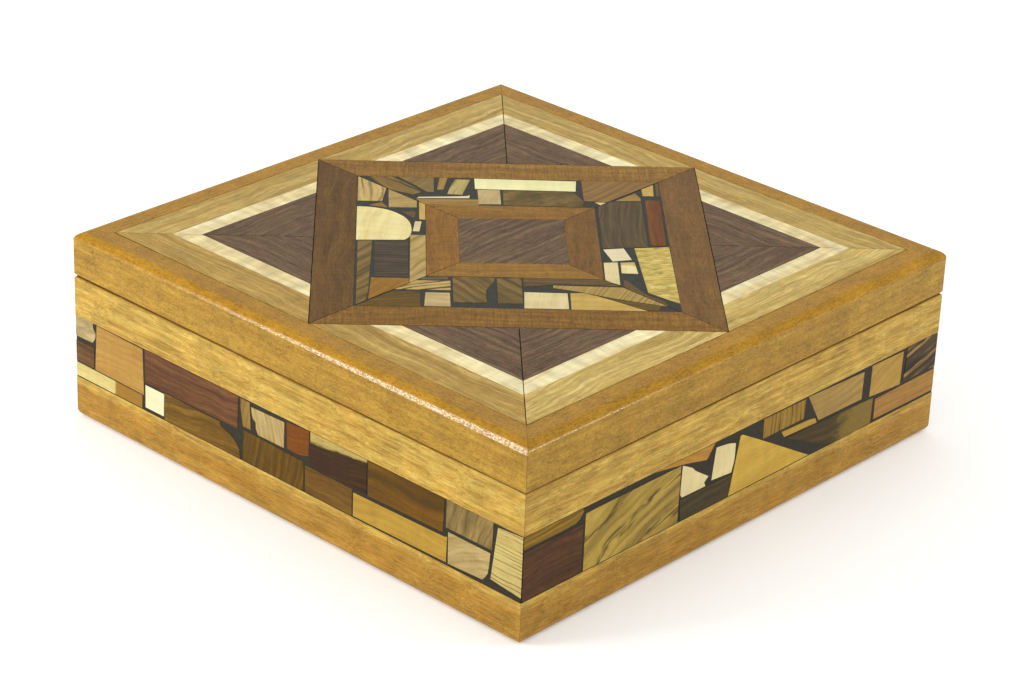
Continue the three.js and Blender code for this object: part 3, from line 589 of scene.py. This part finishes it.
wood("yellow_orange", "a57e2e b79137 c6a244", contrast=0.4)
wood("striped_olive", "6b5011 856516 b08624", (0.01, 0.5), 1)
wood("dark_olive", "553f14 6d521f 83672a", contrast=0.6)
wood("dark_striped_olive", "80601c 9d7929 b38f35", (0.02, 0.4), stripes=(2.4, 0.5, 0.8, 2, "41300c"))
alike({"streak": (0.02, 0.6), "contrast": 0.4},
      pink_tan="96652e a87b39 b88c44", padauk_red="623610 774518 895720")
wood("diagonal_olive", "614d22 7e6534 967a43", (0.02, 0.35), 1, stripes=(4.5, 1, 0.6, 2, "4d3d1a"))
wood("golden_tan", "a37d32 b58f40 c4a14d", contrast=0.4, fibre=0.2)
alike({"streak": (0.02, 0.4), "contrast": 0.4, "fibre": 0.2},
      salmon="a36e28 b58133 c69443", tan_yellow="c09b4b d2af5d e1c171")
wood("pink_beige", "b89b6c ccb27d dbc792", (0.03, 0.4), 0.4, fibre=0.2)
wood("banded_beige", "a88b4f bea161 d0b474", (0.03, 0.4), 0.4, fibre=0.2,
     stripes=(4, 0.9, 0.5, 2, "7d6233"))
wood("purple_brown", "564935 6e5e45 877556", (0.02, 0.6), fibre=0.2)
wood("fine_olive", "9b7d42 b79852 cdae65", (0.02, 0.6), fibre=0.2, stripes=(1.6, 0.35, 0.5, 1, "685226"))
wood("streaked_brown", "705528 8c6e36 a28446", (0.02, 0.4), 0.6, fibre=0.2,
     stripes=(5, 0.9, 0.8, 3, "352b1b"))
wood("ribbed_purple", "3e3327 524437 695947", (0.02, 0.4), 0.8, fibre=0.2,
     stripes=(1.6, 0.4, 0.5, 0.6, "2a231e"))
wood("bright_yellow", "c39435 cfa642 dbb54f", (0.02, 0.3), 0.3, fibre=0.15)
wood("zebra", "bda15b d2b56e dec582", (0.02, 0.4), 0.4, fibre=0.15, stripes=(3.1, 1.4, 1, 0.6, "5f4322"))
wood("striped_yellow", "b29a54 c4b06a cfbf82", (0.02, 0.4), 0.4, fibre=0.15,
     stripes=(2.2, 0.5, 0.6, 1, "7b6332"))
wood("striped_beige", "b99b5d d3b673 e6cc8a", (0.02, 0.4), 0.4, fibre=0.15,
     stripes=(2.4, 0.7, 0.9, 1, "92733f"))


def plain_row(columns):
    """Tiles of a plain row, from its columns."""
    tiles = []
    top = DRAWN_BAND_HEIGHT - FILLER_LINE / 2
    x = -DRAWN_BAND_LENGTH / 2
    lean = 0

    def block(wood_name, low, high, width, right_lean):
        outline = []
        for height in (low, high):
            left = x + lean * height / top + FILLER_LINE / 2
            right = x + width + right_lean * height / top - FILLER_LINE / 2
            outline.append([(left, height), (right, height)])
        tiles.append((wood_name, 2 * right_lean, outline[0] + outline[1][::-1]))

    for width, right_lean, split, *woods in columns:
        if split == 0:
            block(woods[0], FILLER_LINE / 2, top, width, right_lean)
        else:
            block(woods[0], FILLER_LINE / 2, split, width, right_lean)
            block(woods[1], split + FILLER_LINE, top, width, right_lean)
        x += width
        lean = right_lean
    return tiles


def placed(name, data):
    """A new object in the scene."""
    made = bpy.data.objects.new(name, data)
    bpy.context.scene.collection.objects.link(made)
    return made


class Piece:
    """A mesh being built: points in metres, the wood's own coordinates in millimetres, and faces."""

    def __init__(self, name):
        self.name = name
        self.points = []
        self.grain = []
        self.faces = []
        self.face_slots = []
        self.materials = []

    def add(self, points, grain, faces, material):
        """Add a closed form of one wood. grain gives each point in the wood: along, across and through."""
        if material not in self.materials:
            self.materials.append(material)
        first = len(self.points)
        self.points += points
        self.grain += grain
        self.faces += [[first + corner for corner in face] for face in faces]
        self.face_slots += [self.materials.index(material)] * len(faces)

    def make(self, turn, replaced):
        """Turn the form about the upright axis into its place, and hand the object to the frame."""
        placing = Matrix.Rotation(turn, 3, "Z")
        mesh = bpy.data.meshes.new(self.name)
        mesh.from_pydata([placing @ Vector(point) for point in self.points], [], self.faces)
        attribute = mesh.attributes.new(GRAIN, "FLOAT_VECTOR", "POINT")
        attribute.data.foreach_set("vector", [value for point in self.grain for value in point])
        mesh.polygons.foreach_set("material_index", self.face_slots)
        for material in self.materials:
            mesh.materials.append(material)
        shaped = bmesh.new()
        shaped.from_mesh(mesh)
        bmesh.ops.recalc_face_normals(shaped, faces=shaped.faces)
        shaped.to_mesh(mesh)
        shaped.free()
        mesh.shade_smooth()
        mesh.set_sharp_from_angle(angle=SMOOTH_ANGLE)
        made = placed(self.name, mesh)
        # Broad faces keep their own normals, so only the fine edges between them look round
        weighted = made.modifiers.new("weighted_normals", "WEIGHTED_NORMAL")
        weighted.keep_sharp = True
        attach(made, "root")
        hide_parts(*replaced)


def arc(centre_depth, centre_height, radius, from_angle, to_angle):
    """Quarter-round as profile points."""
    points = []
    for step in range(ARC_STEPS + 1):
        angle = from_angle + (to_angle - from_angle) * step / ARC_STEPS
        points.append((centre_depth + radius * math.cos(angle), centre_height + radius * math.sin(angle)))
    return points


def eased(profile, corners, radius=EASED_EDGE):
    """The profile with the named corners rounded a little, as by fine sandpaper."""
    points = []
    count = len(profile)
    for index, corner in enumerate(profile):
        if index not in corners:
            points.append(corner)
            continue
        here = Vector(corner)
        before = Vector(profile[index - 1])
        after = Vector(profile[(index + 1) % count])
        start = here + (before - here).normalized() * min(radius, (before - here).length / 2)
        end = here + (after - here).normalized() * min(radius, (after - here).length / 2)
        middle = here * 0.5 + (start + end) * 0.25
        points += [tuple(start), tuple(middle), tuple(end)]
    return points


def wall_profile():
    """Wall in section: outer face at depth 0, the band's channel, seam bevel, lip and groove."""
    lip_face = WALL_THICKNESS - LIP_THICKNESS
    groove_top = BOTTOM_PANEL_HEIGHT + BOTTOM_PANEL_THICKNESS + GROOVE_CLEARANCE
    bottom = arc(BOTTOM_EDGE_RADIUS, BOTTOM_EDGE_RADIUS, BOTTOM_EDGE_RADIUS, 1.5 * math.pi, math.pi)
    upper = [
        (0, BAND_FOOT),
        (INLAY_THICKNESS, BAND_FOOT),
        (INLAY_THICKNESS, BAND_TOP),
        (0, BAND_TOP),
        (0, BASE_HEIGHT - BASE_TOP_BEVEL),
        (BASE_TOP_BEVEL, BASE_HEIGHT),
        (lip_face, BASE_HEIGHT),
        (lip_face, BASE_HEIGHT + LIP_HEIGHT),
        (WALL_THICKNESS, BASE_HEIGHT + LIP_HEIGHT),
        (WALL_THICKNESS, groove_top),
        (WALL_THICKNESS - GROOVE_DEPTH, groove_top),
        (WALL_THICKNESS - GROOVE_DEPTH, BOTTOM_PANEL_HEIGHT),
        (WALL_THICKNESS, BOTTOM_PANEL_HEIGHT),
        (WALL_THICKNESS, 0),
    ]
    return bottom + eased(upper, (4, 5), STRIP_EDGE)


def rail_profile(flat, bevel):
    """Lid rail in section: seam bevel, sanded flat, round top edge, rebates for the panel and lip."""
    lip_face = WALL_THICKNESS - LIP_THICKNESS - LIP_CLEARANCE
    lip_top = BASE_HEIGHT + LIP_HEIGHT + LIP_CLEARANCE
    seam = [(lip_face, BASE_HEIGHT), (bevel, BASE_HEIGHT), (0, BASE_HEIGHT + bevel)]
    seam.append((0, BASE_HEIGHT + LID_HEIGHT / 2))
    inner = [
        (LID_FRAME_WIDTH, BOX_HEIGHT),
        (LID_FRAME_WIDTH, LID_LEDGE),
        (WALL_THICKNESS, LID_LEDGE),
        (WALL_THICKNESS, lip_top),
        (lip_face, lip_top),
    ]
    radius = (LID_TOP_RADIUS - flat * math.sin(ARRIS_TILT)) / math.cos(ARRIS_TILT)
    centre_height = BOX_HEIGHT - radius
    top = arc(LID_TOP_RADIUS, centre_height, radius, math.pi - ARRIS_TILT, math.pi / 2)
    foot = (0, centre_height + radius * math.sin(ARRIS_TILT) - flat * math.cos(ARRIS_TILT))
    arris = len(seam)
    rounded = eased(eased(seam + [foot] + top, (arris,), ARRIS_EDGE), (1, 2))
    return rounded + eased(inner, (0,), STRIP_EDGE)


def rectangle_profile(width, foot, top, edge=STRIP_EDGE):
    """Upright rectangle with its two top corners eased."""
    corners = [(0, foot), (width, foot), (width, top), (0, top)]
    return eased(corners, (2, 3), edge) if edge > 0 else corners


def side_faces(count, rings):
    """Faces between rings of points that follow each other."""
    faces = []
    for low in range(0, (rings - 1) * count, count):
        for corner in range(count):
            following = (corner + 1) % count
            faces.append([low + corner, low + following, low + count + following, low + count + corner])
    return faces


def mitred_bar(piece, profile, edge_half, material, seed, wave=0.0, steps=1, setback=END_SETBACK,
               end_profile=None):
    """A straight bar along the front edge of a square, with mitred ends.

    Its profile is given as depth inwards from the edge, and height. It may change towards an end
    profile on the right. The long surfaces wander a little.
    """
    points = []
    grain = []
    count = len(profile)
    for step in range(steps + 1):
        share = 2 * step / steps - 1
        for start, end in zip(profile, end_profile or profile):
            depth, height = Vector(start).lerp(Vector(end), step / steps)
            x = share * (edge_half - depth - setback)
            place = Vector((x / WAVE_LENGTH, depth / WAVE_LENGTH + seed, 2 * height / WAVE_LENGTH))
            sunk = wave * (0.5 + 0.5 * noise.noise(place))
            points.append((x, depth - edge_half + sunk, height))
            grain.append((x / MM + BAR_SPACING * seed, depth / MM, height / MM))
    ends = [list(range(count)), [steps * count + corner for corner in range(count)][::-1]]
    piece.add(points, grain, ends + side_faces(count, steps + 1), material)


def rounded_outline(outline, curve_limit=42, samples=5):
    """The outline with its corners under a limit of degrees smoothed, and its sharp corners kept."""
    count = len(outline)
    points = [Vector(point) for point in outline]
    smooth = []
    for index, here in enumerate(points):
        arriving = here - points[index - 1]
        leaving = points[(index + 1) % count] - here
        smooth.append(math.degrees(arriving.angle(leaving)) < curve_limit)
    drawn = []
    for index, here in enumerate(points):
        after = points[(index + 1) % count]
        if not (smooth[index] or smooth[(index + 1) % count]):
            drawn.append(here)
            continue
        length = (after - here).length
        start_way = (after - here).normalized()
        end_way = start_way
        if smooth[index]:
            start_way = (after - points[index - 1]).normalized()
        if smooth[(index + 1) % count]:
            end_way = (points[(index + 2) % count] - here).normalized()
        for sample in range(samples):
            t = sample / samples
            place = here * (2 * t**3 - 3 * t**2 + 1) + start_way * length * (t**3 - 2 * t**2 + t)
            drawn.append(place + after * (3 * t**2 - 2 * t**3) + end_way * length * (t**3 - t**2))
    return drawn


def clipped(outline, corner_lines):
    """The outline cut by straight lines. Each line is a point on it and the way into what is kept."""
    for place, inward in corner_lines:
        kept = []
        for index, here in enumerate(outline):
            before = outline[index - 1]
            here_in = (here - place).dot(inward)
            before_in = (before - place).dot(inward)
            if (here_in >= 0) != (before_in >= 0):
                kept.append(before.lerp(here, before_in / (before_in - here_in)))
            if here_in >= 0:
                kept.append(here)
        outline = kept
    return outline


def inset(outline, distance, sharpest=0.3):
    """The outline moved inwards, corner by corner, with very sharp corners held back."""
    area = sum(a.cross(b) for a, b in zip(outline, outline[1:] + outline[:1]))
    turn = 1 if area > 0 else -1
    moved = []
    for index, here in enumerate(outline):
        arriving = (here - outline[index - 1]).normalized()
        leaving = (outline[(index + 1) % len(outline)] - here).normalized()
        inward_a = Vector((-arriving.y, arriving.x)) * turn
        inward_b = Vector((-leaving.y, leaving.x)) * turn
        moved.append(here + (inward_a + inward_b) * (distance / max(sharpest, 1 + inward_a.dot(inward_b))))
    return moved


def without_repeats(outline, least=0.02 * MM):
    """The outline without points that lie on each other."""
    return [here for index, here in enumerate(outline) if (here - outline[index - 1]).length > least]


def bar_piece(name, profile, edge_half, wood_name, seed, angle, slot, node, **shape):
    """A piece that is one mitred bar, turned to its side of the box."""
    piece = Piece(name)
    mitred_bar(piece, profile, edge_half, WOODS[wood_name], seed, **shape)
    piece.make(angle, [node])


def slab(piece, outline, edge, place, material, angle, seed):
    """A flat piece of wood with eased upper edges. place puts a point and its depth where it belongs."""
    outline = without_repeats(outline)
    middle = sum(outline, Vector((0, 0))) / len(outline)
    between = 0.3 * edge
    rings = [(INLAY_THICKNESS, 0), (edge, 0), (between, between), (0, edge)]
    turning = Matrix.Rotation(-math.radians(angle), 2)
    points = []
    grain = []
    for depth, moved in rings:
        for point in inset(outline, moved):
            points.append(place(point, depth))
            along, across = turning @ (point - middle)
            grain.append((along / MM, across / MM, depth / MM + TILE_SPACING * seed))
    count = len(outline)
    top = (len(rings) - 1) * count
    ends = [list(range(count))[::-1], [top + corner for corner in range(count)]]
    piece.add(points, grain, ends + side_faces(count, len(rings)), material)


def tile_piece(name, tiles, outline_of, place, angle, replaced):
    """A piece that holds one side's offcuts, each a closed form of its own."""
    piece = Piece(name)
    for seed, (wood_name, grain_angle, outline) in enumerate(tiles):
        slab(piece, outline_of(outline), TILE_EDGE, place, WOODS[wood_name], grain_angle, seed)
    piece.make(angle, replaced)


def on_front(point, depth):
    """A point of the front band, held inside the mitred corners at its depth."""
    reach = HALF - depth - END_SETBACK
    return (max(-reach, min(reach, point.x)), depth - HALF, BAND_FOOT + point.y)


def on_lid(point, depth):
    return (point.x, point.y, BOX_HEIGHT - depth)


def band_outline(outline):
    """A drawn outline of a band, moved to the real band's size and cut at the corners."""
    reach = HALF - END_SETBACK
    drawn = rounded_outline(outline)
    wide = BOX_SIDE / DRAWN_BAND_LENGTH
    high = BAND_HEIGHT / DRAWN_BAND_HEIGHT
    sized = [Vector((point.x * wide, point.y * high)) for point in drawn]
    return clipped(sized, [(Vector((-reach, 0)), Vector((1, 0))), (Vector((reach, 0)), Vector((-1, 0)))])


def ring_outline(outline, turn):
    """A drawn outline of the ring, moved so that it keeps its share of the width, and cut at the mitres."""
    sized = []
    for point in rounded_outline(outline):
        reach = max(abs(point.x), abs(point.y))
        share = (reach - DRAWN_RING_INNER) / (DRAWN_RING_OUTER - DRAWN_RING_INNER)
        sized.append(point * ((RING_INNER + share * (RING_OUTER - RING_INNER)) / reach))
    cuts = []
    for side in (-1, 1):
        inward = Matrix.Rotation(turn * math.pi / 2, 2) @ Vector((-side, -1)).normalized()
        cuts.append((inward * (MITRE_GAP / 2), inward))
    for reach, way in ((RING_OUTER, 1), (RING_INNER, -1)):
        outward = Matrix.Rotation(turn * math.pi / 2, 2) @ Vector((0, -1))
        cuts.append((outward * reach, -outward * way))
    return clipped(sized, cuts)


def make_base():
    """The four walls with their mosaic bands."""
    band_tiles = [FRONT_TILES, RIGHT_TILES, plain_row(BACK_COLUMNS), plain_row(LEFT_COLUMNS)]
    named_tiles = {
        "front": ["front_orange_tan_tile", "front_dark_red_tile", "front_curved_tile", "front_olive_tile"],
        "right": ["right_figured_tile", "right_triangle_tile"],
    }
    for turn, (side, tiles) in enumerate(zip(SIDE_NAMES, band_tiles)):
        angle = turn * math.pi / 2
        mosaic = f"base_mosaic_{side}"
        bar_piece(f"{side}_wall", wall_profile(), HALF, "golden_base", turn, angle, "golden_wood",
                  f"base_wall_{side}", setback=CLOSED_SETBACK, **WAVY)
        bed = rectangle_profile(INLAY_THICKNESS, BAND_FOOT, BAND_TOP, 0)
        bed = [(max(depth, FILLER_RECESS), height) for depth, height in bed]
        bar_piece(f"{side}_band_filler", bed, HALF, "band_filler", turn, angle, "black_filler", mosaic,
                  **WAVY)
        tile_piece(f"{side}_band_tiles", tiles, band_outline, on_front, angle,
                   [mosaic] + named_tiles.get(side, []))


def make_lid_frame():
    """The four rails of the lid."""
    for turn, side in enumerate(SIDE_NAMES):
        left_end, right_end = RAIL_ENDS[side]
        bar_piece(f"{side}_rail", rail_profile(*left_end), HALF, "golden_lid", turn + RAIL_SEED,
                  turn * math.pi / 2, "golden_wood", f"lid_rail_{side}", setback=CLOSED_SETBACK,
                  end_profile=rail_profile(*right_end), **WAVY)


def border_outline(outer, inner, opening=0.0):
    """Border piece of one lid side, left of the turned square's corner, between its mitre and the square.

    Its outer joint may stand open at the mitre.
    """
    def mitre_at(distance):
        return Vector((-distance + END_SETBACK, -distance))

    def square_at(distance):
        return Vector((-(BORDER_HALF - distance) - END_SETBACK, -distance))

    apex = BORDER_HALF / 2 + END_SETBACK
    if inner <= apex:
        return [mitre_at(outer), square_at(outer), Vector((-BORDER_HALF / 2, -apex))]
    return [mitre_at(outer - opening), square_at(outer), square_at(inner), mitre_at(inner)]


def make_borders():
    """Tan, cream and walnut borders of the lid, each side's in two halves."""
    for turn, side in enumerate(SIDE_NAMES):
        tan_wood = f"tan_{side}" if f"tan_{side}" in WOODS else "tan_border"
        borders = [
            ("tan_border", "tan_border_wood", tan_wood, BORDER_HALF - MITRE_GAP, CREAM_HALF),
            ("cream_border", "cream_border_wood", "cream_border", CREAM_HALF, WALNUT_HALF),
            ("walnut_corner", "walnut", "walnut", WALNUT_HALF, 0),
        ]
        for order, (border, slot, wood_name, outer, inner) in enumerate(borders):
            opening = OPEN_JOINT if side == "front" and order == 0 else 0
            left = border_outline(outer, inner, opening)
            right = [Vector((-point.x, point.y)) for point in border_outline(outer, inner)][::-1]
            for half_name, outline in (("a", left), ("b", right)):
                piece = Piece(f"{side}_{border}_{half_name}")
                seed = turn * 2 + (half_name == "b") + order
                slab(piece, outline, STRIP_EDGE, on_lid, WOODS[wood_name], 0, seed)
                piece.make(turn * math.pi / 2, [f"{border}_{side}_{half_name}"])


def make_turned_square():
    """The turned square: wide frame, mosaic ring, small frame and centre."""
    ring_tiles = [NEAR_TILES, RIGHT_RING_TILES, FAR_TILES, LEFT_RING_TILES]
    named_tiles = {
        "right": ["lid_dark_brown_tile", "lid_yellow_burl_tile"],
        "left": ["lid_cream_round_tile"],
    }
    eighth = math.pi / 4
    for turn, (side, tiles) in enumerate(zip(SQUARE_SIDES, ring_tiles)):
        angle = eighth + turn * math.pi / 2
        mosaic = f"square_mosaic_{side}"
        profile = rectangle_profile(SQUARE_FRAME_WIDTH, INLAY_FOOT, BOX_HEIGHT)
        bar_piece(f"wide_frame_{side}", profile, SQUARE_HALF, f"wide_{side}", turn + WIDE_FRAME_SEED,
                  angle, "square_frame_wood", f"square_frame_{side}")
        profile = rectangle_profile(SMALL_FRAME_WIDTH, INLAY_FOOT, BOX_HEIGHT)
        bar_piece(f"inner_frame_{side}", profile, RING_INNER, f"small_{side}", turn + SMALL_FRAME_SEED,
                  angle, "square_frame_wood", f"small_frame_{side}")
        bed = rectangle_profile(RING_WIDTH, INLAY_FOOT, BOX_HEIGHT - FILLER_RECESS, 0)
        bar_piece(f"ring_filler_{side}", bed, RING_OUTER, "ring_filler", turn + RING_SEED, angle,
                  "black_filler", mosaic)
        tile_piece(f"ring_tiles_{side}", tiles, lambda outline: ring_outline(outline, turn), on_lid, eighth,
                   [mosaic] + named_tiles.get(side, []))
    centre = Piece("centre_walnut")
    corners = [Vector((x * CENTRE_HALF, y * CENTRE_HALF)) for x, y in SQUARE_CORNERS]
    slab(centre, corners, STRIP_EDGE, on_lid, WOODS["walnut"], angle=45, seed=3)
    centre.make(eighth, ["centre_square"])


def dress_panels():
    """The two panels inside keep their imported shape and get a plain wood."""
    for name in ("base_bottom_panel", "lid_panel"):
        panel = bpy.data.objects[name]
        for place in panel.material_slots:
            place.material = WOODS["inside"]


# The photograph's camera, fitted to the corners of the box
CAMERA_PLACE = (0.7219345, -0.7935691, 0.55920334)
CAMERA_TILT = math.radians(63.9327)
CAMERA_TURN = math.radians(42.2263)
CAMERA_ROLL = math.radians(2.3529)
CAMERA_LENS = 111.2414
CAMERA_SENSOR = 36

# Pale paper under the box, which gives back a little light of its own
FLOOR_REACH = 6
PAPER = {
    "Base Color": (0.93, 0.93, 0.925, 1),
    "Roughness": 0.9,
    "Specular IOR Level": 0.1,
    "Emission Color": (0.95, 0.97, 1, 1),
    "Emission Strength": 0.16,
}

# The studio: the sky's strength, its tone at each height, and the soft boxes on both sides.
# Each soft box has the way that its side of the box faces, a width, a height and a power in watts.
SKY_STRENGTH = 1.2
SKY_TONES = [(0.35, (0.5, 0.5, 0.5, 1)), (0.9, (1.0, 0.99, 0.97, 1))]
LAMP_COLOUR = (1.0, 0.98, 0.93)
LAMP_DISTANCE = 1.3
SOFT_BOXES = {
    "soft_box_left": (Vector((0, -1, 0)), 0.46, 0.16, 11),
    "soft_box_right": (Vector((1, 0, 0)), 0.16, 0.16, 4.3),
}


def make_camera():
    settings = bpy.data.cameras.new("camera")
    settings.lens = CAMERA_LENS
    settings.sensor_width = CAMERA_SENSOR
    camera = placed("camera", settings)
    turn = Matrix.Rotation(CAMERA_TURN, 4, "Z")
    tilt = Matrix.Rotation(CAMERA_TILT, 4, "X")
    roll = Matrix.Rotation(CAMERA_ROLL, 4, "Z")
    camera.matrix_world = Matrix.Translation(CAMERA_PLACE) @ turn @ tilt @ roll
    bpy.context.scene.camera = camera


def make_floor():
    """Plain pale floor."""
    mesh = bpy.data.meshes.new("floor")
    corners = [(x * FLOOR_REACH, y * FLOOR_REACH, 0) for x, y in SQUARE_CORNERS]
    mesh.from_pydata(corners, [], [(0, 1, 2, 3)])
    floor = placed("floor", mesh)
    paper = bpy.data.materials.new("paper")
    paper.use_nodes = True
    shader = paper.node_tree.nodes["Principled BSDF"]
    for socket, value in PAPER.items():
        shader.inputs[socket].default_value = value
    mesh.materials.append(paper)


def soft_box(name, facing, width, height, power):
    """A soft light, placed where the lid's sanded edge mirrors it to the camera at the front corner."""
    settings = bpy.data.lights.new(name, "AREA")
    settings.shape = "RECTANGLE"
    settings.size = width
    settings.size_y = height
    settings.energy = power
    settings.color = LAMP_COLOUR
    lamp = placed(name, settings)
    corner = Vector((HALF, -HALF, BOX_HEIGHT))
    seen_from = (Vector(CAMERA_PLACE) - corner).normalized()
    normal = facing * math.cos(ARRIS_TILT) + Vector((0, 0, math.sin(ARRIS_TILT)))
    way = 2 * normal.dot(seen_from) * normal - seen_from
    lamp.location = corner + way * LAMP_DISTANCE
    lamp.rotation_euler = way.to_track_quat("Z", "Y").to_euler()


def make_lights():
    """Bright from overhead, dimmer towards the horizon, with a soft box on each side."""
    world = bpy.data.worlds.new("studio")
    bpy.context.scene.world = world
    world.use_nodes = True
    tree = world.node_tree
    background = tree.nodes["Background"]
    place = tree.nodes.new("ShaderNodeTexCoord")
    height = tree.nodes.new("ShaderNodeSeparateXYZ")
    ramp = tree.nodes.new("ShaderNodeValToRGB")
    tree.links.new(place.outputs["Generated"], height.inputs[0])
    tree.links.new(height.outputs["Z"], ramp.inputs[0])
    tree.links.new(ramp.outputs[0], background.inputs["Color"])
    for element, (position, tone) in zip(ramp.color_ramp.elements, SKY_TONES):
        element.position = position
        element.color = tone
    background.inputs["Strength"].default_value = SKY_STRENGTH
    for name, settings in SOFT_BOXES.items():
        soft_box(name, *settings)
    bpy.context.scene.view_settings.view_transform = "Standard"


make_camera()
make_base()
make_lid_frame()
make_borders()
make_turned_square()
dress_panels()
make_floor()
make_lights()
